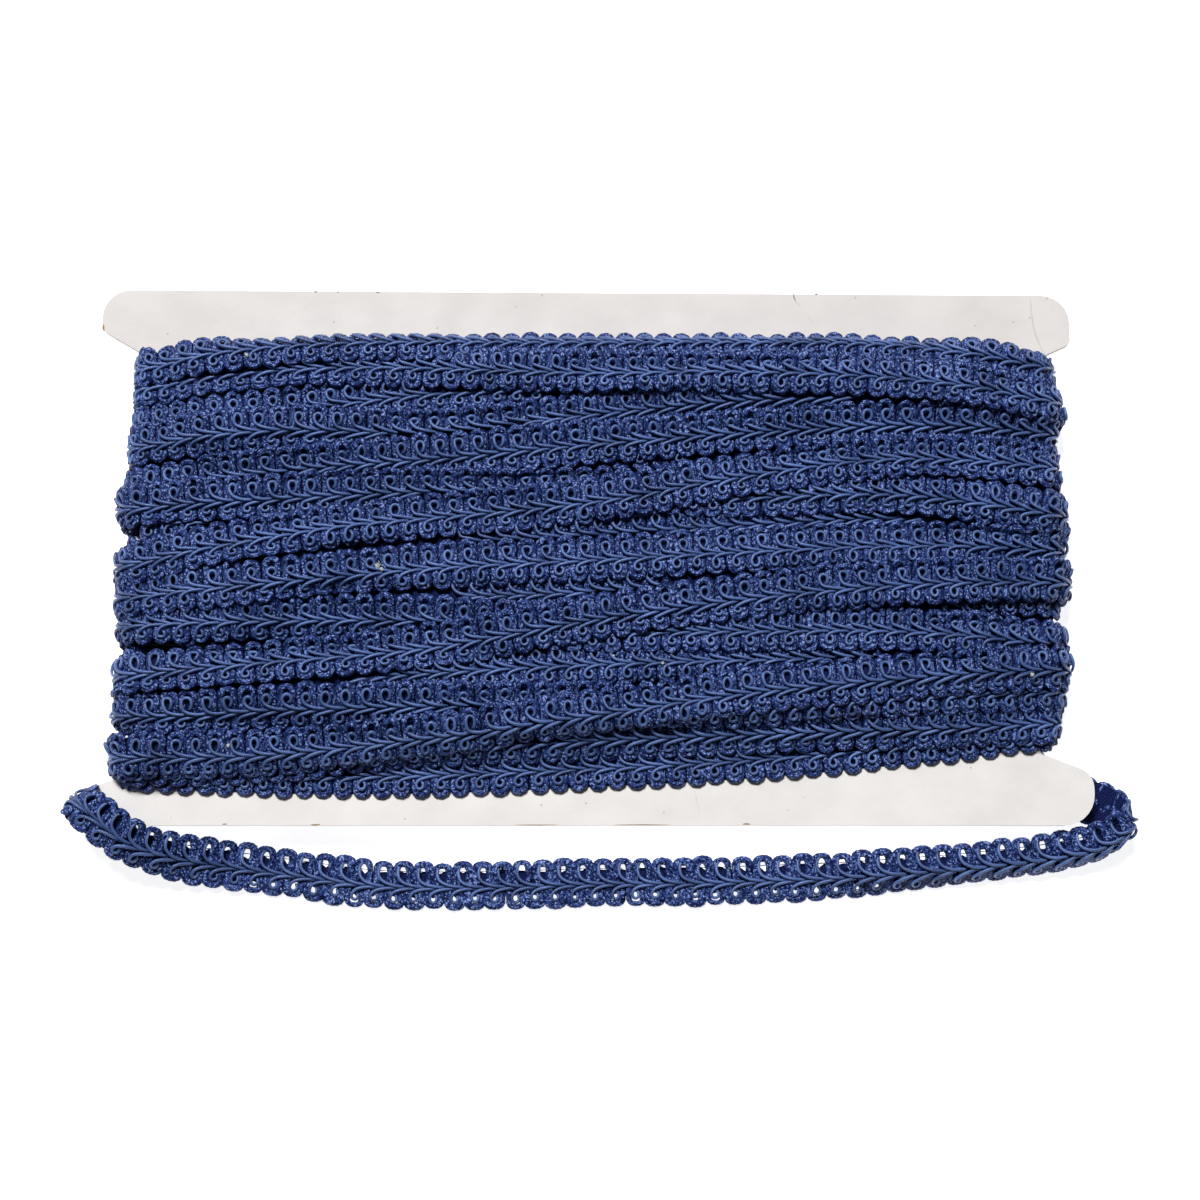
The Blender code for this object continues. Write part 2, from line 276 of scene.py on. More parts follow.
@dataclass(frozen=True, kw_only=True)
class CrimpedCord(Finish):
    """Crimped gimp cord: a soft core closely wrapped with crinkled bright viscose filament.

    Each loop of filament catches the light at its own angle: painted glints, fine pale blue sparks, break up
    the navy.
    """

    name: str = "crimped_viscose_gimp"
    # The deep colour is painted shade between the loops, and the two lightest are painted highlights and
    # glints on their crowns.
    deep: str = "050B2C"
    body: str = "213370"
    lit: str = "3F5893"
    painted_glint: str = "9AAEE6"
    gloss: str = "A8BAFF"  # blue, as in the smooth cord
    roughness: float = 0.5
    ior: float = 1.53  # viscose
    specular: float = 0.3  # fuzzy filament hides most of the surface gloss
    loop_mm: float = 0.3  # one crinkle of filament, drawn about twice too coarse so that it shows
    loop_depth_mm: float = 0.15
    stretch: float = 1.5  # how much longer than wide a crinkle is
    slant: float = 0.6  # radians that the crinkles lean
    girth_mm: float = 4.6  # the way round the cord

    def dress(self) -> bpy.types.Material:
        """Makes the material.

        Returns:
            The finished material.
        """
        material, tree, shader = self.start()
        place = add_node(tree, "ShaderNodeTexCoord").outputs["Object"]
        lay = add_node(tree, "ShaderNodeUVMap", uv_map="lay").outputs["UV"]
        inputs = {"Vector": lay, "Scale": (self.girth_mm, 1.0, 1.0), "Rotation": (0, 0, self.slant)}
        slant = add_node(tree, "ShaderNodeMapping", inputs).outputs["Vector"]
        inputs = {"Vector": slant, "Scale": (1 / self.loop_mm, 1 / (self.loop_mm * self.stretch), 1.0)}
        crinkle = add_node(tree, "ShaderNodeMapping", inputs).outputs["Vector"]
        inputs = {"Vector": crinkle, "Scale": 1.0}
        loops = add_node(tree, "ShaderNodeTexVoronoi", inputs, voronoi_dimensions="2D").outputs
        random = add_node(tree, "ShaderNodeSeparateColor", {"Color": loops["Color"]}).outputs["Red"]
        inputs = {"Vector": place, "Scale": 1 / (6 * self.loop_mm * MM), "Detail": 2.0}
        drift = add_node(tree, "ShaderNodeTexNoise", inputs).outputs["Fac"]
        inputs = {0: drift, 1: 0.4, 2: random}
        mixed = add_node(tree, "ShaderNodeMath", inputs, operation="MULTIPLY_ADD").outputs[0]
        inputs = {0: loops["Distance"], 1: -0.85, 2: mixed}
        level = add_node(tree, "ShaderNodeMath", inputs, operation="MULTIPLY_ADD").outputs[0]
        # Painted shade in the gaps between the loops, the navy body, then painted highlights and painted
        # glints on the loops' crowns.
        stops = ((0.0, self.deep), (0.3, self.body), (0.68, self.lit), (0.95, self.painted_glint))
        ramp = add_node(tree, "ShaderNodeValToRGB", {"Fac": level}, stops)
        tree.links.new(ramp.outputs["Color"], shader.inputs["Base Color"])
        inputs = {"Height": loops["Distance"], "Strength": 0.7, "Distance": self.loop_depth_mm * MM}
        bump = add_node(tree, "ShaderNodeBump", inputs)
        tree.links.new(bump.outputs["Normal"], shader.inputs["Normal"])
        return material


@dataclass(frozen=True, kw_only=True)
class WovenWeb(Finish):
    """Cotton web of fine warp threads that binds the cords. Matt, with slanting ribs; its dark navy is
    painted almost black, painted shade for the gaps between the cords where it shows.
    """

    name: str = "woven_cotton_web"
    dark: str = "050A24"
    light: str = "17245A"
    roughness: float = 0.85
    specular: float = 0.1  # matt fibre
    rib_mm: float = 0.75  # spacing of the slanting ribs
    rib_depth_mm: float = 0.12
    waver_mm: float = 2.0  # over what length the ribs waver
    fleck_mm: float = 0.45

    def dress(self) -> bpy.types.Material:
        """Makes the material.

        Returns:
            The finished material.
        """
        material, tree, shader = self.start()
        lay = add_node(tree, "ShaderNodeUVMap", uv_map="lay").outputs["UV"]
        place = add_node(tree, "ShaderNodeTexCoord").outputs["Object"]
        split = add_node(tree, "ShaderNodeSeparateXYZ", {0: lay}).outputs
        inputs = {0: split["X"], 1: 0.6, 2: split["Y"]}
        slant = add_node(tree, "ShaderNodeMath", inputs, operation="MULTIPLY_ADD").outputs[0]
        inputs = {"Vector": place, "Scale": 1 / (self.waver_mm * MM), "Detail": 2.0}
        waver = add_node(tree, "ShaderNodeTexNoise", inputs).outputs["Fac"]
        inputs = {0: waver, 1: 1.6, 2: slant}
        slant = add_node(tree, "ShaderNodeMath", inputs, operation="MULTIPLY_ADD").outputs[0]
        inputs = {0: slant, 1: 2 * math.pi / self.rib_mm}
        angle = add_node(tree, "ShaderNodeMath", inputs, operation="MULTIPLY").outputs[0]
        rib = add_node(tree, "ShaderNodeMath", {0: angle}, operation="SINE").outputs[0]
        rib = add_node(tree, "ShaderNodeMapRange", {"Value": rib, "From Min": -1.0}).outputs["Result"]
        inputs = {"Vector": place, "Scale": 1 / (self.fleck_mm * MM), "Detail": 3.0}
        fleck = add_node(tree, "ShaderNodeTexNoise", inputs).outputs["Fac"]
        inputs = {0: rib, 1: 0.3, 2: fleck}
        mixed = add_node(tree, "ShaderNodeMath", inputs, operation="MULTIPLY_ADD").outputs[0]
        # Both stops are near black: the web's own dark navy, painted darker as painted shade in the gaps
        # between the cords.
        stops = ((0.42, self.dark), (0.85, self.light))
        ramp = add_node(tree, "ShaderNodeValToRGB", {"Fac": mixed}, stops)
        tree.links.new(ramp.outputs["Color"], shader.inputs["Base Color"])
        inputs = {"Height": mixed, "Strength": 0.8, "Distance": self.rib_depth_mm * MM}
        bump = add_node(tree, "ShaderNodeBump", inputs)
        tree.links.new(bump.outputs["Normal"], shader.inputs["Normal"])
        return material


@dataclass(frozen=True, kw_only=True)
class LinedBoard(Finish):
    """White-lined board: grey pulp board faced with thin white paper, die-cut.

    The facing is matt and warm white with faint cloudy mottle and a few specks. The cut edge is greyer.
    """

    name: str = "white_lined_board"
    face: str = "E9E4E1"
    lit_band: str = "F9F5F2"  # painted light: its lower band is painted lighter
    cloud: float = 0.93  # how much the mottle darkens it
    core: str = "BDB6AD"
    speck: str = "A8855C"
    roughness: float = 0.75
    ior: float = 1.5  # paper fibre and size
    lit_band_from_mm: float = -20.0
    lit_band_to_mm: float = -56.0
    mottle_mm: float = 14.0
    mottle_depth_mm: float = 1.2
    fibre_mm: float = 0.6
    fibre_depth_mm: float = 0.05
    speck_mm: float = 5.0

    def _face_colour(
        self, tree: bpy.types.NodeTree, place: bpy.types.NodeSocket, clouds: bpy.types.NodeSocket
    ) -> bpy.types.NodeSocket:
        """Colours the paper face: painted lighter towards the bottom as painted light, mottled, and specked.

        Args:
            tree: the material's node tree.
            place: where on the card a spot is.
            clouds: the mottle's strength there.

        Returns:
            The colour.
        """
        # The lower band is painted lighter than the rest of the face: painted light.
        height = add_node(tree, "ShaderNodeSeparateXYZ", {0: place}).outputs["Y"]
        inputs = {"Value": height, "From Min": self.lit_band_from_mm * MM, "From Max": self.lit_band_to_mm * MM}
        band = add_node(tree, "ShaderNodeMapRange", inputs).outputs["Result"]
        inputs = {0: band, 6: linear(self.face), 7: linear(self.lit_band)}
        colour = add_node(tree, "ShaderNodeMix", inputs, data_type="RGBA").outputs[2]
        inputs = {"Value": clouds, "From Min": 0.38, "From Max": 0.62, "To Min": self.cloud}
        mottle = add_node(tree, "ShaderNodeMapRange", inputs).outputs["Result"]
        inputs = {0: 1.0, 6: colour, 7: mottle}
        colour = add_node(tree, "ShaderNodeMix", inputs, data_type="RGBA", blend_type="MULTIPLY").outputs[2]
        inputs = {"Vector": place, "Scale": 1 / (self.speck_mm * MM)}
        dots = add_node(tree, "ShaderNodeTexVoronoi", inputs).outputs["Distance"]
        inputs = {"Value": dots, "From Min": 0.03, "From Max": 0.07, "To Min": 0.5, "To Max": 0.0}
        spots = add_node(tree, "ShaderNodeMapRange", inputs).outputs["Result"]
        inputs = {0: spots, 6: colour, 7: linear(self.speck)}
        return add_node(tree, "ShaderNodeMix", inputs, data_type="RGBA").outputs[2]

    def dress(self) -> bpy.types.Material:
        """Makes the material.

        Returns:
            The finished material.
        """
        material, tree, shader = self.start()
        place = add_node(tree, "ShaderNodeTexCoord").outputs["Object"]
        inputs = {"Vector": place, "Scale": 1 / (self.mottle_mm * MM), "Detail": 6.0}
        clouds = add_node(tree, "ShaderNodeTexNoise", inputs).outputs["Fac"]
        colour = self._face_colour(tree, place, clouds)
        facing = add_node(tree, "ShaderNodeNewGeometry").outputs["Normal"]
        upright = add_node(tree, "ShaderNodeSeparateXYZ", {0: facing}).outputs["Z"]
        upright = add_node(tree, "ShaderNodeMath", {0: upright}, operation="ABSOLUTE").outputs[0]
        inputs = {"Value": upright, "From Min": 0.3, "From Max": 0.8, "To Min": 1.0, "To Max": 0.0}
        edge = add_node(tree, "ShaderNodeMapRange", inputs).outputs["Result"]
        inputs = {0: edge, 6: colour, 7: linear(self.core)}
        colour = add_node(tree, "ShaderNodeMix", inputs, data_type="RGBA").outputs[2]
        tree.links.new(colour, shader.inputs["Base Color"])
        inputs = {"Vector": place, "Scale": 1 / (self.fibre_mm * MM), "Detail": 4.0}
        fibres = add_node(tree, "ShaderNodeTexNoise", inputs).outputs["Fac"]
        inputs = {"Height": clouds, "Strength": 0.35, "Distance": self.mottle_depth_mm * MM}
        wave = add_node(tree, "ShaderNodeBump", inputs).outputs["Normal"]
        inputs = {"Height": fibres, "Strength": 0.25, "Distance": self.fibre_depth_mm * MM, "Normal": wave}
        bump = add_node(tree, "ShaderNodeBump", inputs)
        tree.links.new(bump.outputs["Normal"], shader.inputs["Normal"])
        return material


@dataclass(frozen=True, kw_only=True)
class PlainMatt(Finish):
    """Matt paint, paper, dried glue or cotton lint: one pale colour with a faint unevenness."""

    colour: str
    worn: str
    roughness: float = 0.9
    patch_mm: float = 1.0

    def dress(self) -> bpy.types.Material:
        """Makes the material.

        Returns:
            The finished material.
        """
        material, tree, shader = self.start()
        place = add_node(tree, "ShaderNodeTexCoord").outputs["Object"]
        inputs = {"Vector": place, "Scale": 1 / (self.patch_mm * MM)}
        patch = add_node(tree, "ShaderNodeTexNoise", inputs).outputs["Fac"]
        stops = ((0.3, self.worn), (0.7, self.colour))
        ramp = add_node(tree, "ShaderNodeValToRGB", {"Fac": patch}, stops)
        tree.links.new(ramp.outputs["Color"], shader.inputs["Base Color"])
        return material


# --- the braid ----------------------------------------------------------------------------------


class Half(Enum):
    """The two halves of the braid, above and below its spine."""

    UPPER = 1
    LOWER = -1


class Yarn(Enum):
    """What a mesh's faces are made of, in the order of its material slots."""

    SMOOTH = 0
    CRIMPED = 1
    WEB = 2


@dataclass
class Strip:
    """A run of braid as a bent surface: how any spot along it, across it and above it comes to lie."""

    step: float  # spacing of the stations along the strip
    low: float  # the first profile point's place across the strip
    rise: float  # spacing of the profile points
    points: np.ndarray  # stations by profile points by x, y, z
    normals: np.ndarray
    past_edge: float = 0.4  # how far past the outer profile points it may be read, in spacings

    @property
    def length(self) -> float:
        """The strip's length."""
        return self.step * (len(self.points) - 1)

    def read(self, table: np.ndarray, ahead: np.ndarray, across: np.ndarray) -> np.ndarray:
        """Reads a table of the strip between its stations and profile points.

        Args:
            table: values for every station and profile point.
            ahead: places along the strip.
            across: places across it, from the spine.

        Returns:
            The values there.
        """
        stations, profile = table.shape[:2]
        i = np.clip(ahead / self.step, 0, stations - 1.001)
        j = np.clip((across - self.low) / self.rise, -self.past_edge, profile - 1.001 + self.past_edge)
        i0 = i.astype(int)
        j0 = np.clip(j.astype(int), 0, profile - 2)
        return between(table, (i0, i0 + 1), j0, (i - i0)[..., None], (j - j0)[..., None])

    def place(self, local: np.ndarray) -> tuple[np.ndarray, np.ndarray]:
        """Finds where spots on the braid lie.

        Args:
            local: spots as places along, across and above the strip.

        Returns:
            The spots in space, and the way up from the strip at each.
        """
        above = unit(self.read(self.normals, local[..., 0], local[..., 1]))
        spots = self.read(self.points, local[..., 0], local[..., 1]) + above * local[..., 2:]
        return spots, above


def strip_from(points: np.ndarray, step: float, low: float, rise: float) -> Strip:
    """Makes a strip from its surface, and works out the way up from it.

    Args:
        points: stations by profile points by x, y, z.
        step: spacing of the stations.
        low: the first profile point's place across the strip.
        rise: spacing of the profile points.

    Returns:
        The strip.
    """
    along = np.gradient(points, axis=0)
    across = np.gradient(points, axis=1)
    return Strip(step, low, rise, points, unit(np.cross(along, across)))


@dataclass
class MeshStock:
    """Gathers cords and sheets, and makes them into one mesh."""

    name: str
    spots: list[np.ndarray] = field(default_factory=list)
    faces: list[np.ndarray] = field(default_factory=list)
    lays: list[np.ndarray] = field(default_factory=list)
    yarns: list[np.ndarray] = field(default_factory=list)
    count: int = 0
    cord_gap: float = 11.3  # each cord's pattern starts this much further along, so that no two match

    def _take(self, spots: np.ndarray, faces: np.ndarray, lays: np.ndarray, yarn: Enum) -> None:
        """Adds points and the four-sided faces between them.

        Args:
            spots: the points, as x, y, z.
            faces: the four points of each face, counted from the first of these.
            lays: for each face's corners, their place round and along the yarn.
            yarn: what the faces are made of.
        """
        self.spots.append(spots)
        self.faces.append(faces + self.count)
        self.lays.append(lays)
        self.yarns.append(np.full(len(faces), yarn.value))
        self.count += len(spots)

    def add_cords(
        self, lines: np.ndarray, above: np.ndarray, radii: np.ndarray, sides: int, yarn: Enum
    ) -> None:
        """Adds a batch of cords, each swept along its line.

        Args:
            lines: cords by points by x, y, z.
            above: the way up at each point.
            radii: for each point of a cord, its half width and half height.
            sides: how many sides a cord has.
            yarn: what it is made of.
        """
        cords, points = lines.shape[:2]
        if cords == 0:
            return
        forward = unit(np.gradient(lines, axis=1))
        aside = unit(np.cross(forward, above))
        upward = np.cross(aside, forward)
        turn = np.arange(sides) * 2 * math.pi / sides
        wide = radii[..., 0, None, None] * np.cos(turn)[:, None]
        high = radii[..., 1, None, None] * np.sin(turn)[:, None]
        rings = lines[:, :, None] + aside[:, :, None] * wide + upward[:, :, None] * high
        cord, point, side = np.meshgrid(
            np.arange(cords), np.arange(points - 1), np.arange(sides), indexing="ij"
        )
        beside = (side + 1) % sides
        base = cord * points * sides
        here = base + point * sides
        ahead = here + sides
        faces = np.stack([here + side, ahead + side, ahead + beside, here + beside], axis=-1).reshape(-1, 4)
        run = np.cumsum(np.linalg.norm(np.diff(lines, axis=1, prepend=lines[:, :1]), axis=2), axis=1)
        run = run + self.cord_gap * np.arange(cords)[:, None]
        start = np.broadcast_to(run[:, :-1, None], cord.shape)
        end = np.broadcast_to(run[:, 1:, None], cord.shape)
        left, right = side / sides, (side + 1) / sides
        corners = [(left, start), (left, end), (right, end), (right, start)]
        lays = np.stack([np.stack(corner, axis=-1) for corner in corners], axis=-2).reshape(-1, 4, 2)
        self._take(rings.reshape(-1, 3), faces, lays, yarn)

    def add_sheet(self, grid: np.ndarray, lay: np.ndarray, yarn: Enum) -> None:
        """Adds a sheet between the points of a grid.

        Args:
            grid: rows by columns by x, y, z.
            lay: the place of each point on the flat sheet, along and across.
            yarn: what it is made of.
        """
        rows, columns = grid.shape[:2]
        index = np.arange(rows * columns).reshape(rows, columns)
        corners = [index[:-1, :-1], index[1:, :-1], index[1:, 1:], index[:-1, 1:]]
        faces = np.stack(corners, axis=-1).reshape(-1, 4)
        self._take(grid.reshape(-1, 3), faces, lay.reshape(-1, 2)[faces], yarn)

    def make(self, materials: list[bpy.types.Material], slot: str) -> bpy.types.Object:
        """Makes the mesh and puts it in the scene, riding on the roll.

        Args:
            materials: the finish for each yarn.
            slot: the frame's material slot that the piece belongs to; not used.

        Returns:
            The new piece.
        """
        spots = np.concatenate(self.spots) * MM
        faces = np.concatenate(self.faces)
        mesh = bpy.data.meshes.new(self.name)
        mesh.vertices.add(len(spots))
        mesh.vertices.foreach_set("co", spots.astype(np.float32).ravel())
        mesh.loops.add(faces.size)
        mesh.loops.foreach_set("vertex_index", faces.astype(np.int32).ravel())
        mesh.polygons.add(len(faces))
        mesh.polygons.foreach_set("loop_start", np.arange(0, faces.size, 4, dtype=np.int32))
        mesh.update(calc_edges=True)
        for material in materials:
            mesh.materials.append(material)
        mesh.polygons.foreach_set("material_index", np.concatenate(self.yarns).astype(np.int32))
        lay = mesh.uv_layers.new(name="lay")
        lay.data.foreach_set("uv", np.concatenate(self.lays).astype(np.float32).ravel())
        mesh.shade_smooth()
        piece = bpy.data.objects.new(self.name, mesh)
        bpy.context.scene.collection.objects.link(piece)
        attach(piece, "root")
        log.info("%s: %d triangles", self.name, 2 * len(faces))
        return piece


class Detail(NamedTuple):
    """How finely the cords are drawn: points along a curl and a scallop, and sides round each."""

    curl_points: int
    curl_sides: int
    scallop_points: int
    scallop_sides: int


FINE = Detail(24, 7, 28, 8)
FRONT = Detail(18, 6, 20, 6)
BEHIND = Detail(11, 4, 11, 5)


class Repeats(NamedTuple):
    """Places along a strip where scallops and curls are worked."""

    scallops: np.ndarray
    curls: np.ndarray


class Curl(NamedTuple):
    """The loop that heads a curl: half its width and height, and its middle's distance from the spine."""

    wide: float
    tall: float
    middle: float
    end_deg: float  # where round the loop the cord tucks under, from a start at its left
    lifts: tuple[float, float, float, float] = (1.0, 0.9, 0.8, 0.45)  # how high it lies, round the loop


@dataclass
class GimpBraid:
    """The braid's repeat: on each half a scallop of crimped cord, and a long-tailed curl of smooth cord."""

    pitch: float = 4.7
    upper_edge: float = 6.7
    lower_edge: float = 5.35
    crimped_half_width: float = 0.9
    crimped_half_height: float = 0.6
    swell: float = 0.05  # how unevenly thick the crimped cord is
    arch_half_width: float = 1.5
    arch_rise: float = 1.46
    arch_fullness: float = 2.0  # 2 is a round arch, more is squarer
    smooth_radius: float = 0.4
    upper_curl: Curl = Curl(1.0, 1.25, 2.95, -85.0)
    lower_curl: Curl = Curl(0.9, 0.95, 2.35, -85.0)
    lower_lag: float = 0.4  # the lower half's repeat lies this share of a pitch behind
    upper_thread: float = 4.95
    lower_thread: float = 3.9
    thread_radius: float = 0.13
    thread_sides: int = 3
    crimp_turn: float = 1.9  # radians of the crimp's wave from one point of a scallop to the next
    crimp_lift: float = 0.06  # how much the wave lifts the cord, and by what share it thickens it
    crimp_bulge: float = 0.05
    crown_thinning: float = 0.12  # pulled taut at its crown, a scallop is thinner there by this share
    outer_share: float = 0.88  # the share of the cord's half width that lies outside an arch's line
    scallop_lift: float = 0.12
    foot: float = 0.2  # a scallop's feet come this near to the spine
    foot_width: float = 0.9  # at this share of its half width from its middle
    foot_drop: float = 0.35  # how deep they dip, and how far from the spine the dip reaches
    foot_fade: float = 0.9
    thread_sag: float = 0.12
    lift_places: tuple[float, ...] = (0.0, 0.35, 0.75, 1.0)  # how far round the loop its lifts are given
    tip_share: float = 0.3  # a curl's cord ends at this share of its radius
    tail_low: float = -0.25  # a tail comes out of the spine, and is up after this share of its length
    tail_high: float = 1.0
    tail_climb: float = 1 / 1.9
    tail_reach: float = 1.22  # pitches that a curl's tail runs ahead
    ring_share: float = 0.6  # the share of a curl's points that its loop takes
    ring_start_deg: float = 198.0
    # How uneven the work is: spreads of size as shares, of place in millimetres and of lean in radians.
    scallop_reach_spread: float = 0.025
    scallop_lean_spread: float = 0.1
    scallop_lift_spread: float = 0.08
    curl_width_spread: float = 0.07
    curl_height_spread: float = 0.09
    curl_place_spread: float = 0.12
    curl_lean_spread: float = 0.14
    curl_lift_spread: float = 0.05
    tail_spread: float = 0.18
    web_low: float = -4.2
    web_high: float = 5.2
    web_depth: float = -0.32
    web_columns: int = 7

    def scallops(self, half: Half, rng: np.random.Generator, count: int, points: int) -> np.ndarray:
        """Bends crimped cord into scallops.

        Args:
            half: which half of the braid they are on.
            rng: the source of their unevenness.
            count: how many.
            points: points along each.

        Returns:
            Scallops by points, as places along, across and above the strip.
        """
        arch = self.arch_half_width
        edge = self.upper_edge if half is Half.UPPER else self.lower_edge
        centre = edge - self.outer_share * self.crimped_half_width - self.arch_rise
        foot = arch * self.foot_width
        start = [[-foot, self.foot], [-arch, centre * 0.5]]
        end = [[arch, centre * 0.5], [foot, self.foot]]
        turn = np.linspace(math.pi, 0.0, points - len(start) - len(end))
        bow = np.sign(np.cos(turn)) * np.abs(np.cos(turn)) ** (2 / self.arch_fullness)
        crown = np.abs(np.sin(turn)) ** (2 / self.arch_fullness)
        line = np.concatenate([start, np.stack([arch * bow, centre + self.arch_rise * crown], axis=1), end])
        crimp = np.sin(np.arange(points) * self.crimp_turn)
        dip = np.exp(-((line[:, 1] / self.foot_fade) ** 2))
        above = self.scallop_lift + self.crimp_lift * crimp - self.foot_drop * dip
        flat = np.concatenate([line, above[:, None]], axis=1)[None].repeat(count, axis=0)
        flat[..., 1] *= 1 + rng.normal(0.0, self.scallop_reach_spread, (count, 1))
        flat[..., 0] += rng.normal(0.0, self.scallop_lean_spread, (count, 1)) * np.abs(flat[..., 1]) / edge
        flat[..., 2] += rng.normal(0.0, self.scallop_lift_spread, (count, 1)) * np.abs(flat[..., 1]) / edge
        flat[..., 1] *= half.value
        return flat

    def curls(self, half: Half, rng: np.random.Generator, count: int, points: int) -> np.ndarray:
        """Curls smooth cord over the scallops, and lays each curl's tail forward to the spine.

        Args:
            half: which half of the braid they are on.
            rng: the source of their unevenness.
            count: how many.
            points: points along each.

        Returns:
            Curls by points, as places along, across and above the strip.
        """
        curl = self.upper_curl if half is Half.UPPER else self.lower_curl
        wide = curl.wide * (1 + rng.normal(0.0, self.curl_width_spread, (count, 1)))
        tall = curl.tall * (1 + rng.normal(0.0, self.curl_height_spread, (count, 1)))
        middle = curl.middle + rng.normal(0.0, self.curl_place_spread, (count, 1))
        shift = rng.normal(0.0, self.curl_place_spread, (count, 1))
        lean = rng.normal(0.0, self.curl_lean_spread, (count, 1))
        ring_points = round(points * self.ring_share)
        turn = np.linspace(math.radians(self.ring_start_deg), math.radians(curl.end_deg), ring_points)
        ring_ahead = shift + wide * np.cos(turn + lean)
        ring_across = middle + tall * np.sin(turn + lean)
        share = np.linspace(0.0, 1.0, points - ring_points + 1)[:-1]
        reach = self.pitch * self.tail_reach + rng.normal(0.0, self.tail_spread, (count, 1))
        join_ahead, join_across = ring_ahead[:, :1], ring_across[:, :1]
        # The tail is a Bezier curve. It leaves along the spine, and turns out to the start of the loop.
        weights = [(1 - share) ** 3, 3 * share * (1 - share) ** 2, 3 * share**2 * (1 - share), share**3]
        ahead_pulls = (reach, reach - 3.1, join_ahead + 0.2, join_ahead)
        across_pulls = (0.1, 0.25, join_across * 0.2, join_across)
        tail_ahead = sum(pull * weight for pull, weight in zip(ahead_pulls, weights))
        tail_across = sum(pull * weight for pull, weight in zip(across_pulls, weights))
        climb = np.sin(np.clip(share / self.tail_climb, 0, 1) * math.pi / 2)
        tail_above = self.tail_low + (self.tail_high - self.tail_low) * climb
        ring_above = np.interp(np.linspace(0, 1, ring_points), self.lift_places, curl.lifts)
        ahead = np.concatenate([tail_ahead, ring_ahead], axis=1)
        across = np.concatenate([tail_across, ring_across], axis=1) * half.value
        above = np.concatenate([tail_above, ring_above])[None].repeat(count, axis=0)
        above = above + rng.normal(0.0, self.curl_lift_spread, (count, 1))
        return np.stack([ahead, across, above], axis=2)

    def threads(self, half: Half, count: int) -> np.ndarray:
        """Runs a taut edge thread across each scallop.

        Args:
            half: which half of the braid they are on.
            count: how many repeats.

        Returns:
            Threads by points, as places along, across and above the strip.
        """
        across = (self.upper_thread if half is Half.UPPER else self.lower_thread) * half.value
        reach, sag = self.pitch / 2, self.thread_sag
        line = [[-reach, across, -sag], [0.0, across, 0.0], [reach, across, -sag]]
        return np.array(line)[None].repeat(count, axis=0)

    def lag(self, half: Half) -> float:
        """Returns how far along the strip a half's repeat lies behind the upper one's, as a place."""
        return -self.lower_lag * self.pitch if half is Half.LOWER else 0.0

    def work(
        self, stock: MeshStock, strip: Strip, half: Half, repeats: Repeats, detail: Detail, seed: int
    ) -> None:
        """Works one half of the braid along a strip.

        Args:
            stock: the mesh stock that takes the cords.
            strip: the strip that the braid follows.
            half: which half of the braid.
            repeats: where the scallops and the curls are worked.
            detail: how finely they are drawn.
            seed: the seed of their unevenness.
        """
        rng = np.random.default_rng(seed)
        points = detail.scallop_points
        crown = np.sin(np.linspace(0, math.pi, points)) ** 4
        wave = np.cos(np.arange(points) * self.crimp_turn)
        crimp = 1 + self.crimp_bulge * wave - self.crown_thinning * crown
        radii = np.stack([self.crimped_half_width * crimp, self.crimped_half_height * crimp], axis=1)
        radii = radii * (1 + rng.normal(0.0, self.swell, (len(repeats.scallops), 1, 1)))
        shift = repeats.scallops[:, None, None] * np.array([1.0, 0.0, 0.0])
        scallops = self.scallops(half, rng, len(shift), points) + shift
        stock.add_cords(*strip.place(scallops), radii, detail.scallop_sides, Yarn.CRIMPED)
        threads = self.threads(half, len(shift)) + shift
        radii = np.full((threads.shape[1], 2), self.thread_radius)
        stock.add_cords(*strip.place(threads), radii, self.thread_sides, Yarn.WEB)
        shift = repeats.curls[:, None, None] * np.array([1.0, 0.0, 0.0])
        curls = self.curls(half, rng, len(shift), detail.curl_points) + shift
        taper = np.ones(detail.curl_points)
        taper[[0, -1]] = self.tip_share
        radii = (self.smooth_radius * taper)[:, None].repeat(2, axis=1)
        stock.add_cords(*strip.place(curls), radii, detail.curl_sides, Yarn.SMOOTH)

    def add_web(self, stock: MeshStock, strip: Strip) -> None:
        """Lays the thin woven web under the cords.

        Args:
            stock: the mesh stock that takes it.
            strip: the strip that it follows.
        """
        places = np.linspace(0.0, strip.length, round(strip.length / (self.pitch / 2)))
        widths = np.linspace(self.web_low, self.web_high, self.web_columns)
        ahead, across = np.meshgrid(places, widths, indexing="ij")
        local = np.stack([ahead, across, np.full(ahead.shape, self.web_depth)], axis=2)
        stock.add_sheet(strip.place(local)[0], np.stack([across, ahead], axis=2), Yarn.WEB)


# --- the wound trim -----------------------------------------------------------------------------


class Pass(NamedTuple):
    """One pass over the front: its layer, counted from the card, and its spine's height at each station."""

    layer: int
    spine: tuple[float, ...]


# Places along the card, from its middle, at which the height of each pass is given.
STATIONS = (-112.0, -75.0, -37.5, 0.0, 37.5, 75.0, 112.0)

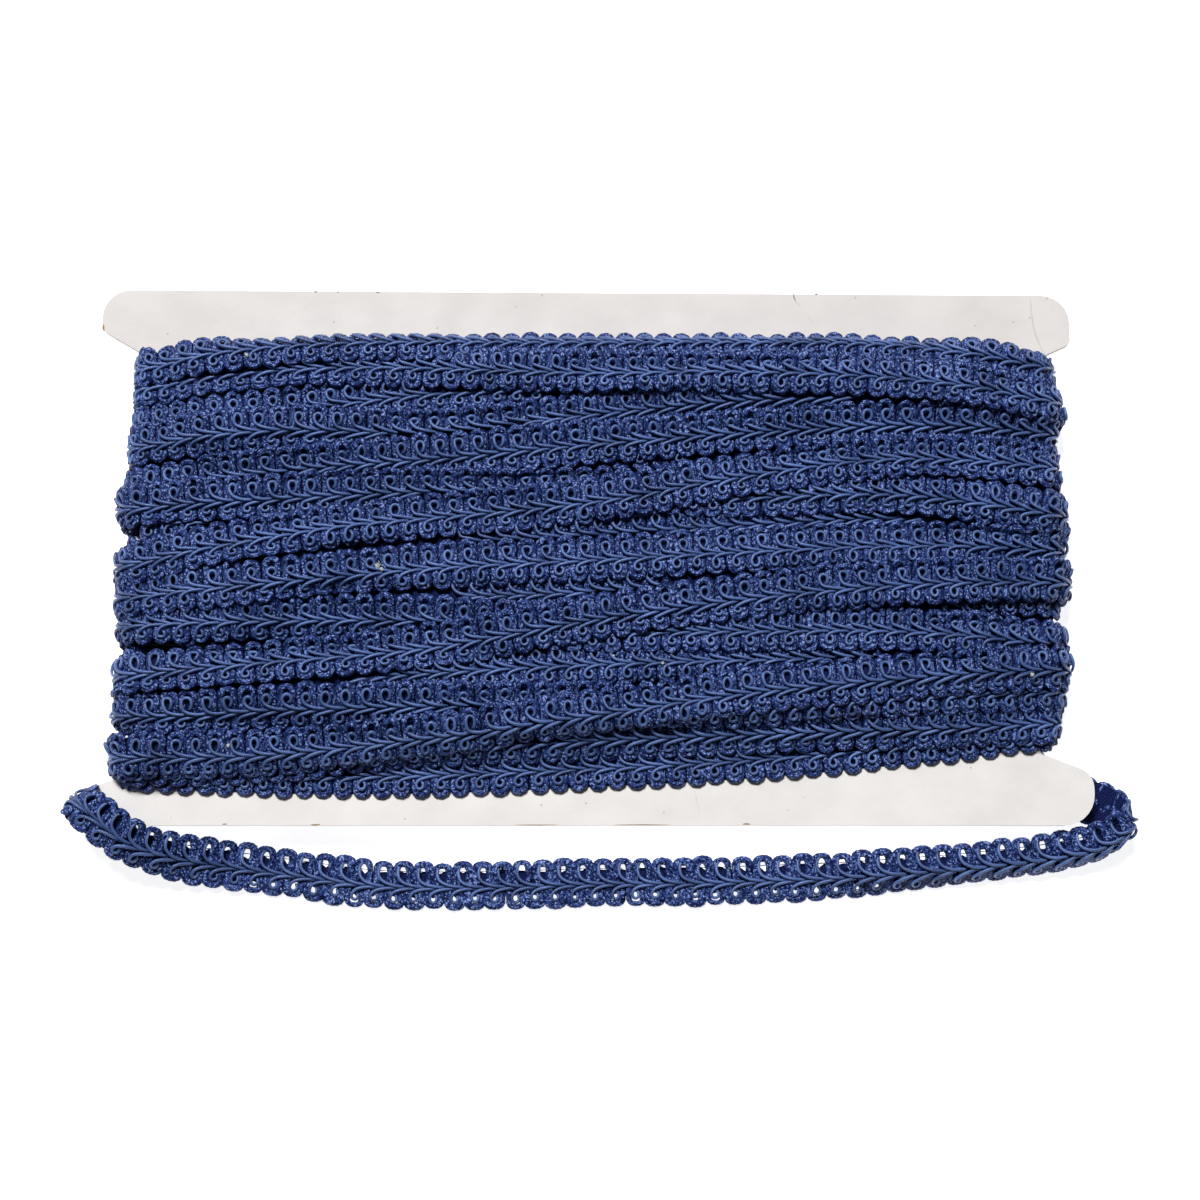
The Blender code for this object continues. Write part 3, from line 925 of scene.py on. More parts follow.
# From the card's upper edge down. Each pass leads on to the next, round the back.
PASSES = (
    Pass(16, (46.0, 50.8, 51.9, 51.8, 51.9, 51.2, 46.0)),
    Pass(15, (41.0, 45.0, 45.0, 43.5, 43.5, 42.0, 37.0)),
    Pass(5, (31.0, 34.5, 39.0, 41.0, 42.0, 40.5, 37.5)),
    Pass(6, (26.0, 29.5, 29.0, 33.5, 37.0, 37.5, 33.5)),
    Pass(7, (15.0, 19.5, 22.5, 26.0, 29.0, 31.0, 29.5)),
    Pass(10, (10.5, 13.0, 14.5, 14.5, 13.0, 13.5, 9.0)),
    Pass(14, (-3.5, 3.5, 8.0, 11.5, 18.0, 22.5, 21.0)),
    Pass(2, (-6.5, -3.0, 1.5, 4.0, 6.5, 8.0, 6.5)),
    Pass(11, (-11.0, -8.0, -4.5, -2.5, -0.5, 1.0, 0.5)),
    Pass(0, (-14.0, -13.0, -11.5, -10.0, -7.5, -6.5, -4.5)),
    Pass(9, (-18.0, -17.0, -17.0, -19.5, -19.5, -19.5, -22.5)),
    Pass(13, (-30.0, -27.0, -23.5, -17.0, -12.0, -8.5, -7.5)),
    Pass(1, (-34.0, -32.0, -29.5, -27.5, -26.5, -25.5, -26.5)),
    Pass(8, (-40.0, -38.5, -37.5, -37.5, -38.0, -35.0, -33.5)),
    Pass(12, (-49.8, -49.0, -45.0, -40.0, -34.5, -31.0, -28.5)),
    Pass(4, (-51.5, -50.5, -47.0, -45.5, -44.0, -42.7, -41.2)),
    Pass(3, (-52.0, -53.6, -53.5, -52.0, -50.0, -46.6, -42.4)),
)


@dataclass
class Neck:
    """The card's neck, unrolled: its front, right end, back and left end make one straight run."""

    half_length: float = 109.0
    middle_z: float = 8.1  # height of the card's middle
    half_slot: float = 1.35  # half the room for the card
    wrap_radius: float = 6.4  # the radius at which the way round the ends is measured
    ground_step: float = 1.0  # about how far apart the ground's columns are
    cell: float = 0.5  # the height of its cells
    lowest: float = -70.0
    highest: float = 66.0

    @property
    def front(self) -> float:
        """Length of the run over the front."""
        return 2 * self.half_length

    @property
    def wrap(self) -> float:
        """Length of the run round one end."""
        return math.pi * self.wrap_radius

    @property
    def girth(self) -> float:
        """Length of the run once round the neck."""
        return 2 * (self.front + self.wrap)

    @property
    def columns(self) -> int:
        """Columns of the ground once round the neck."""
        return round(self.girth / self.ground_step)

    @property
    def step(self) -> float:
        """Exact spacing of the ground's columns."""
        return self.girth / self.columns

    @property
    def wraps(self) -> tuple[float, float]:
        """Places on the run of the middles of the left and the right end."""
        return -self.wrap / 2, self.front + self.wrap / 2

    @property
    def cells(self) -> np.ndarray:
        """Heights of the ground's cells."""
        return np.arange(self.lowest, self.highest, self.cell)

    def ends(self, place: np.ndarray) -> tuple[np.ndarray, np.ndarray]:
        """Finds how far round each end a place is.

        Args:
            place: places on the first round of the run.

        Returns:
            How far round the right end each is, from 0 to 1, and how far round the left end.
        """
        right = np.clip((place - self.front) / self.wrap, 0, 1)
        left = np.clip((place - 2 * self.front - self.wrap) / self.wrap, 0, 1)
        return right, left

    def wrap_share(self, run: np.ndarray) -> np.ndarray:
        """Returns how far round to the back each place on the run is: 0 on the front, 1 on the back."""
        right, left = self.ends(np.mod(run, self.girth))
        return right - left

    def roll_up(self, run: np.ndarray, height: np.ndarray, depth: np.ndarray) -> np.ndarray:
        """Puts unrolled spots back round the neck.

        Args:
            run: places along the run.
            height: places across the card.
            depth: heights above the card's surface.

        Returns:
            The spots in space.
        """
        place = np.mod(run, self.girth)
        right, left = self.ends(place)
        angle = (right + left) * math.pi
        back_run = np.clip(place - self.front - self.wrap, 0, self.front)
        centre = np.minimum(place, self.front) - self.half_length - back_run
        radius = self.half_slot + depth
        x = centre + radius * np.sin(angle)
        z = self.middle_z + radius * np.cos(angle)
        return np.stack([x, height, z], axis=-1)


@dataclass
class Turn:
    """One turn of the trim, unrolled: its spine's run and height, and its bent surface once laid."""

    number: int  # from the top, and below zero for a buried turn
    run: np.ndarray
    height: np.ndarray
    surface: np.ndarray | None = None  # stations by profile points by run, height, depth


# A scallop or a curl shows if one of these spots on it, ahead and across, isn't covered.
SCALLOP_SPOTS = tuple((ahead, across) for across in (0.5, 1.7, 2.9, 4.1, 5.2) for ahead in (-1.8, 0.0, 1.8))
TAIL_SPOTS = ((5.0, 0.1), (3.8, 0.3), (2.6, 0.5), (1.4, 0.8), (0.2, 1.2))
CURL_SPOTS = (*TAIL_SPOTS, (-0.8, 2.2), (-0.8, 3.2), (0.8, 3.2), (0.0, 4.0))


@dataclass
class WoundTrim:
    """The trim wound round the neck: 17 turns that show, laid layer by layer over buried ones."""

    neck: Neck = field(default_factory=Neck)
    braid: GimpBraid = field(default_factory=GimpBraid)
    profile_low: float = -5.4
    profile_rise: float = 0.6
    profile_points: int = 21  # up to 6.6 above the spine
    front_core: float = 4.2  # how thick the buried layers are on the front, behind and at the ends
    back_core: float = 2.4
    end_core: float = 1.3
    thins_from: float = 96.0  # how far out the core starts to thin towards an end, and over what length
    thins_over: float = 14.0
    # The upper and lower edges of the buried layers at the stations, and how roundly they fall away there.
    sleeve_top: tuple[float, ...] = (50.5, 52.0, 51.9, 52.3, 52.4, 52.2, 50.5)
    sleeve_bottom: tuple[float, ...] = (-50.0, -52.0, -51.0, -49.0, -46.5, -44.0, -41.0)
    top_rise: float = 0.8
    bottom_rise: float = 7.0
    tilt_limit: float = 0.6  # radians that a strip's middle leans at most
    steepest: float = -1.42  # radians that its edges hang and rise at most
    steepest_rise: float = 1.2
    shoulder_hold: float = 0.8  # radians by which the top turn hangs less over the winding's two top corners
    shoulder_place: float = 97.0
    shoulder_width: float = 15.0
    rest: float = 0.45  # a strip's middle lies this far above what it rests on
    spine_top: float = 1.1  # how far the spine and the edges reach above a strip's middle
    edge_top: float = 0.72
    bend: float = 0.42  # radians that the braid bends in a millimetre across its width
    rim_bend: float = 2.2  # the same for the top turn, pulled down over the winding's upper edge
    # How far the winding reaches past the neck at each end, by height across the card.
    left_reach: tuple[tuple[float, float], ...] = (
        (-56.0, 13.0),
        (-50.0, 9.4),
        (-42.0, 6.4),
        (-20.0, 6.2),
        (0.0, 6.6),
        (14.0, 7.0),
        (21.0, 4.4),
        (38.0, 3.4),
        (51.0, 2.4),
    )
    right_reach: tuple[tuple[float, float], ...] = (
        (-52.0, 2.6),
        (-45.0, 4.0),
        (-27.0, 7.6),
        (-16.0, 6.2),
        (-8.0, 7.8),
        (10.0, 8.2),
        (26.0, 5.8),
        (35.0, 7.8),
        (48.0, 4.6),
    )
    end_fade: float = 16.0  # how far in from each end the pull of the wrap is felt
    swap_place: float = -30.0  # where the two top turns change places, and over what distance
    swap_length: float = 9.0
    buried_turns: int = 11
    buried_inset: float = 7.0  # how far above the winding's lower edge the lowest one lies
    buried_top: float = 44.0  # how high the uppermost one lies
    buried_waver: float = 2.0  # how far it wavers up and down, over what length, and from turn to turn
    waver_length: float = 60.0
    waver_shift: float = 1.9
    start_above: float = 4.0  # how much higher than its first pass the trim starts, behind
    last_height: float = -63.0  # where the last turn leaves the winding, behind
    last_run: float = 77.0  # and how far past the middle of the back
    lowest_middle: float = 1.3  # no strip's middle comes lower, so that the roll lies on its cords
    showing: float = 0.3  # how deep a cord may lie and still show
    phase_step: float = 0.37  # pitches by which a turn's repeats are moved on from the turn before
    pitch_spread: float = 0.06
    join_fade: float = 14.0  # how far from a join two turns are brought together
    behind_from: float = 0.8  # the share of the way round from which a cord counts as behind
    ground: np.ndarray = field(default_factory=lambda: np.zeros((1, 1)))

    def _at_stations(self, values: tuple[float, ...], x: np.ndarray) -> np.ndarray:
        """Reads a row of values given at the stations at any place along the card."""
        curve = smooth_curve(np.stack([STATIONS, values], axis=1), steps=12)
        return np.interp(x, curve[:, 0], curve[:, 1])

    def _lay_ground(self) -> None:
        """Shapes the buried layers, on which the turns that show are laid."""
        neck = self.neck
        run = np.arange(neck.columns) * neck.step
        x = neck.roll_up(run, run * 0, run * 0)[:, 0]
        core = self.front_core + (self.back_core - self.front_core) * neck.wrap_share(run)
        at_end = np.clip((np.abs(x) - self.thins_from) / self.thins_over, 0, 1)
        core = core + (np.minimum(core, self.end_core) - core) * at_end
        height = neck.cells
        top = self._at_stations(self.sleeve_top, x)[:, None]
        bottom = self._at_stations(self.sleeve_bottom, x)[:, None]
        fall = 1 - np.exp(-np.maximum(top - height, 0) / self.top_rise)
        slope = 1 - np.exp(-np.maximum(height - bottom, 0) / self.bottom_rise)
        self.ground = core[:, None] * fall * slope

    def ground_at(self, run: np.ndarray, height: np.ndarray) -> np.ndarray:
        """Reads how high the trim lies so far.

        Args:
            run: places along the run.
            height: heights across the card.

        Returns:
            The height above the card's surface there.
        """
        neck = self.neck
        i = np.mod(run / neck.step, neck.columns)
        j = np.clip((height - neck.lowest) / neck.cell, 0, self.ground.shape[1] - 1.001)
        i0, j0 = i.astype(int) % neck.columns, j.astype(int)
        return between(self.ground, (i0, (i0 + 1) % neck.columns), j0, i - np.floor(i), j - j0)

    def _turn(self, number: int) -> Turn:
        """Finds the way of one turn: from the back, over the front from left to right, and to the back again.

        Args:
            number: the turn's number, from the top.

        Returns:
            The turn, not yet laid.
        """
        neck = self.neck
        first = -math.floor((neck.half_length + neck.wrap) / neck.step)
        last = first + neck.columns
        here = PASSES[number].spine
        if number + 1 < len(PASSES):
            onward = PASSES[number + 1].spine[0]
        else:
            onward = self.last_height
            last = math.floor((neck.front + neck.wrap + neck.half_length + self.last_run) / neck.step)
        before = PASSES[number - 1].spine[-1] if number else here[0] + self.start_above
        run = np.arange(first, last + 1) * neck.step
        height = self._at_stations(here, run - neck.half_length)
        leaving = np.clip((run - neck.front - neck.wrap) / neck.front, 0, 1)
        coming = np.clip((run + neck.wrap + neck.front) / neck.front, 0, 1)
        height = np.where(run > neck.front, here[-1] + (onward - here[-1]) * leaving, height)
        height = np.where(run < 0, before + (here[0] - before) * coming, height)
        return Turn(number, run, settle(height, spread=5.0))

    def _buried_turn(self, number: int) -> Turn:
        """Finds the way of a turn of the buried layer, which shows only through gaps.

        Args:
            number: the turn's number, from the bottom.

        Returns:
            The turn, not yet laid.
        """
        neck = self.neck
        run = np.arange(0, neck.columns + 1) * neck.step
        share = number / (self.buried_turns - 1)
        x = neck.roll_up(run, run * 0, run * 0)[:, 0]
        lowest = self._at_stations(self.sleeve_bottom, x) + self.buried_inset
        waver = self.buried_waver * np.sin(run / self.waver_length + self.waver_shift * number)
        height = lowest + (self.buried_top - lowest) * share + waver
        return Turn(-1 - number, run, height)

    def _bend_out(
        self,
        support: Callable[[np.ndarray], np.ndarray],
        side: int,
        tilt: np.ndarray,
        depth: np.ndarray,
        sharpness: float | np.ndarray,
        steepest: float | np.ndarray,
        count: int,
    ) -> list[tuple[np.ndarray, np.ndarray]]:
        """Bends one half of a turn over what lies under it, from the spine out.

        Args:
            support: reads the ground at an offset across the turn.
            side: 1 for the upper half and -1 for the lower one.
            tilt: the lean of the turn's middle.
            depth: the height of its spine above the card's surface.
            sharpness: radians that it bends in a millimetre across its width.
            steepest: radians that it hangs at most.
            count: how many profile points the half has.

        Returns:
            The offset and the height of each profile point in turn.
        """
        offset, level, angle = np.zeros_like(depth), depth, tilt * side
        turn_by = sharpness * self.profile_rise
        points = []
        for _ in range(count):
            needs = []
            for look in (1, 2):
                distance = look * self.profile_rise
                ground = support((offset + distance) * side) + self.rest
                needs.append(np.arctan2(ground - level, distance))
            angle = np.clip(np.max(needs, axis=0), angle - turn_by, angle + 2 * turn_by)
            angle = np.clip(angle, steepest, self.steepest_rise)
            offset = offset + np.cos(angle) * self.profile_rise
            level = level + np.sin(angle) * self.profile_rise
            level = np.maximum(level, support(offset * side) + 0.5 * self.rest)
            points.append((offset * side, level))
        return points

    def _lay(self, turn: Turn) -> None:
        """Lays a turn on what is there, bending it over what it crosses, and raises the ground by it.

        Args:
            turn: the turn, which gets its surface.
        """
        neck = self.neck
        run, height = turn.run, turn.height
        slope = np.arctan(np.gradient(height, run))
        ahead, across = np.cos(slope), np.sin(slope)

        def support(offset: float | np.ndarray) -> np.ndarray:
            """Returns the ground at an offset across the turn."""
            return self.ground_at(run - across * offset, height + ahead * offset)

        looks = ((-3.0, -2.0, -1.0), (-0.5, 0.0, 0.5), (1.0, 2.0, 3.0))
        lower, middle, upper = (np.max([support(offset) for offset in look], axis=0) for look in looks)
        between_looks = looks[2][1] - looks[0][1]
        tilt = np.clip(np.arctan((upper - lower) / between_looks), -self.tilt_limit, self.tilt_limit)
        tilt = settle(tilt, spread=3.0)
        depth = np.maximum(middle, (upper + lower) / 2)
        sharpness = np.full_like(run, self.bend)
        steepest = np.full_like(run, self.steepest)
        if turn.number == 0:
            from_shoulder = (np.abs(run - neck.half_length) - self.shoulder_place) / self.shoulder_width
            steepest = steepest + self.shoulder_hold * np.exp(-(from_shoulder**2))
            pulled = 1 / (1 + np.exp((self.swap_place + neck.half_length - run) / self.swap_length * 2))
            sharpness = sharpness + (self.rim_bend - self.bend) * pulled
            # It leans less than what is under it, and its lower half sinks in a little.
            tilt = tilt * (0.4 + 0.3 * pulled)
            depth = np.maximum(middle, lower - 0.4)
        depth = settle(crest(depth + self.rest, reach=2), spread=2.2)
        below = round(-self.profile_low / self.profile_rise)
        above = self.profile_points - 1 - below
        lower_half = self._bend_out(support, -1, tilt, depth, self.bend, self.steepest, below)
        upper_half = self._bend_out(support, 1, tilt, depth, sharpness, steepest, above)
        laid = [*reversed(lower_half), (np.zeros_like(depth), depth), *upper_half]
        offsets = settle(np.stack([offset for offset, _ in laid], axis=1), spread=1.5)
        depths = settle(np.stack([level for _, level in laid], axis=1), spread=1.2)
        runs = run[:, None] - across[:, None] * offsets
        heights = height[:, None] + ahead[:, None] * offsets
        turn.surface = np.stack([runs, heights, depths], axis=2)
        self._raise_ground(turn)

    def _raise_ground(self, turn: Turn) -> None:
        """Adds a laid turn to the ground.

        Args:
            turn: the laid turn.
        """
        neck = self.neck
        profile = self.profile_low + self.profile_rise * np.arange(self.profile_points)
        top = self.edge_top + (self.spine_top - self.edge_top) * np.exp(-((profile / 2.0) ** 4))
        cells = neck.cells
        for place, row in zip(turn.run, turn.surface):
            column = round(place / neck.step) % neck.columns
            covered = (cells >= row[0, 1] - 0.3) & (cells <= row[-1, 1] + 0.3)
            level = np.interp(cells[covered], row[:, 1], row[:, 2] + top)
            self.ground[column, covered] = np.maximum(self.ground[column, covered], level)

    def _lay_top_pair(self, first: Turn, second: Turn) -> None:
        """Lays the two top turns, which change places part of the way along.

        Args:
            first: the turn that is on top towards the left.
            second: the turn that is on top towards the right.
        """
        before = self.ground.copy()
        self._lay(first)
        self._lay(second)
        right = first.surface, second.surface
        self.ground = before.copy()
        self._lay(second)
        self._lay(first)
        place = self.swap_place + self.neck.half_length
        weight = 1 / (1 + np.exp((first.run - place) / self.swap_length * 4))[:, None, None]
        first.surface = weight * first.surface + (1 - weight) * right[0]
        weight = 1 / (1 + np.exp((second.run - place) / self.swap_length * 4))[:, None, None]
        second.surface = weight * second.surface + (1 - weight) * right[1]
        self.ground = before
        self._raise_ground(first)
        self._raise_ground(second)

    def _join_ends(self, turns: list[Turn]) -> None:
        """Brings the end of each turn and the start of the next to one height, behind the card.

        Args:
            turns: the laid turns, from the top.
        """
        for turn, following in zip(turns, turns[1:]):
            gap = following.surface[0, :, 2] - turn.surface[-1, :, 2]
            from_end = np.exp(-(((turn.run[-1] - turn.run) / self.join_fade) ** 2))[:, None]
            from_start = np.exp(-(((following.run - following.run[0]) / self.join_fade) ** 2))[:, None]
            turn.surface[..., 2] += from_end * gap / 2
            following.surface[..., 2] -= from_start * gap / 2

    def _pull(self) -> list[np.ndarray]:
        """Finds how far the turns are pulled in at the two ends of the neck.

        Returns:
            For each end and each height of the ground's cells, the share of their height that is left.
        """
        neck = self.neck
        pulls = []
        for middle, reach in zip(neck.wraps, (self.left_reach, self.right_reach)):
            columns = np.arange(-3, 4) + round(middle / neck.step)
            pile = settle(self.ground[columns % neck.columns].mean(axis=0), spread=6.0)
            wanted = np.interp(neck.cells, *np.array(reach).T) - neck.half_slot
            pulls.append(np.clip(wanted / np.maximum(pile, 1.0), 0.3, 1.3))
        return pulls

    def _tighten(self, turn: Turn, pulls: list[np.ndarray]) -> None:
        """Pulls a laid turn in round the ends of the neck.

        Args:
            turn: the laid turn.
            pulls: for each end, the share of the turns' height that is left.
        """
        neck = self.neck
        half_round = neck.girth / 2
        for middle, pull in zip(neck.wraps, pulls):
            away = np.abs(np.mod(turn.surface[..., 0] - middle + half_round, neck.girth) - half_round)
            felt = 0.5 + 0.5 * np.cos(np.clip((away - neck.wrap / 2) / self.end_fade, 0, 1) * math.pi)
            turn.surface[..., 2] *= 1 + felt * (np.interp(turn.surface[..., 1], neck.cells, pull) - 1)

    def _strip(self, turn: Turn) -> Strip:
        """Rolls a laid turn up round the neck.

        Args:
            turn: the laid turn.

        Returns:
            The turn as a strip in space.
        """
        run, height, depth = np.moveaxis(turn.surface, 2, 0)
        points = self.neck.roll_up(run, height, depth)
        points[..., 2] = np.maximum(points[..., 2], self.lowest_middle)
        return strip_from(points, self.neck.step, self.profile_low, self.profile_rise)

    def _showing(
        self, turn: Turn, strip: Strip, half: Half, places: np.ndarray, spots: tuple[tuple[float, float], ...]
    ) -> np.ndarray:
        """Keeps the repeats of a turn that aren't covered by turns laid over them.

        Args:
            turn: the laid turn.
            strip: the same turn as a strip.
            half: which half of the braid.
            places: the repeats' places along the strip.
            spots: where on a repeat to look, ahead and across.

        Returns:
            The places of the repeats that show.
        """
        shows = np.zeros(len(places), bool)
        for ahead, across in spots:
            laid = strip.read(turn.surface, places + ahead, np.full(len(places), across * half.value))
            over = self.ground_at(laid[:, 0], laid[:, 1]) - laid[:, 2]
            shows |= over < self.spine_top + self.showing
        return places[shows]

    def _repeats(self, turn: Turn, strip: Strip, half: Half, rng: np.random.Generator) -> Repeats:
        """Places the repeats of one half of a turn, where they show.

        Args:
            turn: the laid turn.
            strip: the same turn as a strip.
            half: which half of the braid.
            rng: the source of the repeats' unevenness.

        Returns:
            The places of the scallops and the curls that show.
        """
        phase = self.braid.pitch * (0.5 + (turn.number * self.phase_step) % 1)
        places = np.arange(phase + self.braid.lag(half), strip.length - 1.0, self.braid.pitch)
        places = places + rng.normal(0.0, self.pitch_spread, len(places))
        scallops = self._showing(turn, strip, half, places, SCALLOP_SPOTS)
        curls = self._showing(turn, strip, half, places, CURL_SPOTS)
        return Repeats(scallops, curls)

    def build(self, materials: list[bpy.types.Material]) -> list[bpy.types.Object]:
        """Lays all the turns and works the braid along them.

        Args:
            materials: the finish for each yarn.

        Returns:
            The pieces.
        """
        self._lay_ground()
        buried = [self._buried_turn(number) for number in range(self.buried_turns)]
        turns = [self._turn(number) for number in range(len(PASSES))]
        for turn in [*buried, *sorted(turns[2:], key=lambda t: PASSES[t.number].layer)]:
            self._lay(turn)
        self._lay_top_pair(turns[0], turns[1])
        self._join_ends(turns)
        rng = np.random.default_rng(SEED)
        front = [MeshStock(f"wound_trim_front_{n + 1}") for n in range(4)]
        behind = [MeshStock(f"wound_trim_back_{n + 1}") for n in range(2)]
        web = MeshStock("wound_web")
        pulls = self._pull()
        for turn in [*turns, *buried]:
            starts = {half: self._repeats(turn, self._strip(turn), half, rng) for half in Half}
            self._tighten(turn, pulls)
            strip = self._strip(turn)
            share = max(turn.number, 0) / len(PASSES)
            hidden = turn.number < 0
            for stocks, detail, is_behind in ((front, FRONT, False), (behind, BEHIND, True)):
                stock = stocks[int(share * len(stocks))]
                for half, repeats in starts.items():
                    shares = [self.neck.wrap_share(turn.run[0] + places) for places in repeats]
                    chosen = [p[(s > self.behind_from) == is_behind] for p, s in zip(repeats, shares)]
                    seed = int(rng.integers(SEED_LIMIT))
                    self.braid.work(stock, strip, half, Repeats(*chosen), BEHIND if hidden else detail, seed)
            self.braid.add_web(web, strip)
        pieces = [stock.make(materials, "trim") for stock in (*front, *behind, web)]
        for piece in pieces:
            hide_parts("winding")
        return pieces


# --- the loose last turn ------------------------------------------------------------------------


class Bend(NamedTuple):
    """One point of the loose turn: where its spine passes, how its upper half lies, and its crease there."""

    x: float
    y: float
    z: float
    across_x: float
    across_y: float
    across_z: float
    crease_deg: float


# From its hidden start under the left end, round the ear, along below the card, and back under the right end.
LOOSE_TURN = (
    Bend(-80.0, -57.0, 2.2, 0.1, 1.0, 0.0, 0.0),
    Bend(-92.0, -57.8, 2.2, 0.0, 1.0, 0.0, 0.0),
    Bend(-103.0, -58.6, 2.3, 0.1, 1.0, 0.0, 0.0),
    Bend(-111.0, -59.4, 2.4, 0.3, 0.95, 0.0, 0.0),
    Bend(-117.5, -60.2, 2.9, 0.6, 0.8, 0.0, 10.0),
    Bend(-122.4, -60.0, 4.8, 0.78, 0.63, 0.0, 30.0),
    Bend(-123.6, -59.2, 8.2, 0.84, 0.54, 0.0, 40.0),
    Bend(-123.2, -59.0, 11.2, 0.92, 0.4, 0.0, 30.0),
    Bend(-121.9, -60.3, 13.0, 0.92, 0.4, 0.0, 16.0),
    Bend(-119.7, -62.3, 13.3, 0.78, 0.62, 0.03, 10.0),
    Bend(-117.3, -64.4, 13.3, 0.7, 0.71, 0.05, 10.0),
    Bend(-114.6, -66.8, 13.0, 0.6, 0.8, 0.1, 12.0),
    Bend(-111.5, -69.1, 12.2, 0.5, 0.86, 0.15, 12.0),
    Bend(-107.6, -71.0, 10.6, 0.42, 0.89, 0.2, 10.0),
    Bend(-103.0, -72.5, 8.0, 0.33, 0.93, 0.2, 8.0),
    Bend(-96.2, -74.1, 4.6, 0.25, 0.96, 0.12, 5.0),
    Bend(-84.6, -75.7, 1.9, 0.17, 0.98, 0.0, 0.0),
    Bend(-70.2, -77.6, 0.9, 0.13, 0.99, 0.0, 0.0),
    Bend(-50.8, -79.9, 0.9, 0.06, 1.0, 0.0, 0.0),
    Bend(-26.6, -80.2, 0.9, -0.01, 1.0, 0.0, 0.0),
    Bend(2.4, -79.4, 0.9, -0.02, 1.0, 0.0, 0.0),
    Bend(26.6, -79.2, 0.9, -0.01, 1.0, 0.0, 0.0),
    Bend(50.7, -78.4, 1.6, -0.04, 1.0, 0.0, 12.0),
    Bend(62.0, -77.9, 2.9, -0.06, 1.0, 0.0, 28.0),
    Bend(74.6, -77.1, 4.2, -0.08, 1.0, 0.0, 44.0),
    Bend(88.9, -76.0, 5.0, -0.1, 0.99, 0.0, 52.0),
    Bend(100.0, -74.9, 5.4, -0.13, 0.99, 0.0, 55.0),
    Bend(110.0, -73.7, 5.9, -0.17, 0.98, 0.0, 58.0),
    Bend(118.0, -72.3, 6.8, -0.27, 0.96, 0.0, 62.0),
    Bend(122.5, -71.1, 7.5, -0.36, 0.93, 0.0, 66.0),
    Bend(126.2, -69.4, 8.2, -0.42, 0.9, 0.0, 70.0),
    Bend(129.2, -67.2, 8.4, -0.4, 0.92, 0.0, 74.0),
    Bend(131.0, -65.4, 7.0, -0.2, 0.98, 0.0, 70.0),
    Bend(129.6, -64.3, 4.8, 0.0, 1.0, 0.0, 40.0),
    Bend(126.2, -62.2, 3.4, 0.22, 0.97, 0.0, 15.0),
    Bend(122.3, -60.2, 2.7, 0.28, 0.96, 0.0, 8.0),
    Bend(118.4, -59.2, 2.4, 0.2, 0.98, 0.0, 0.0),
    Bend(113.0, -58.5, 2.3, 0.1, 1.0, 0.0, 0.0),
    Bend(104.0, -57.8, 2.3, 0.0, 1.0, 0.0, 0.0),
    Bend(92.0, -57.3, 2.3, 0.0, 1.0, 0.0, 0.0),
    Bend(78.0, -57.0, 2.3, 0.0, 1.0, 0.0, 0.0),
)


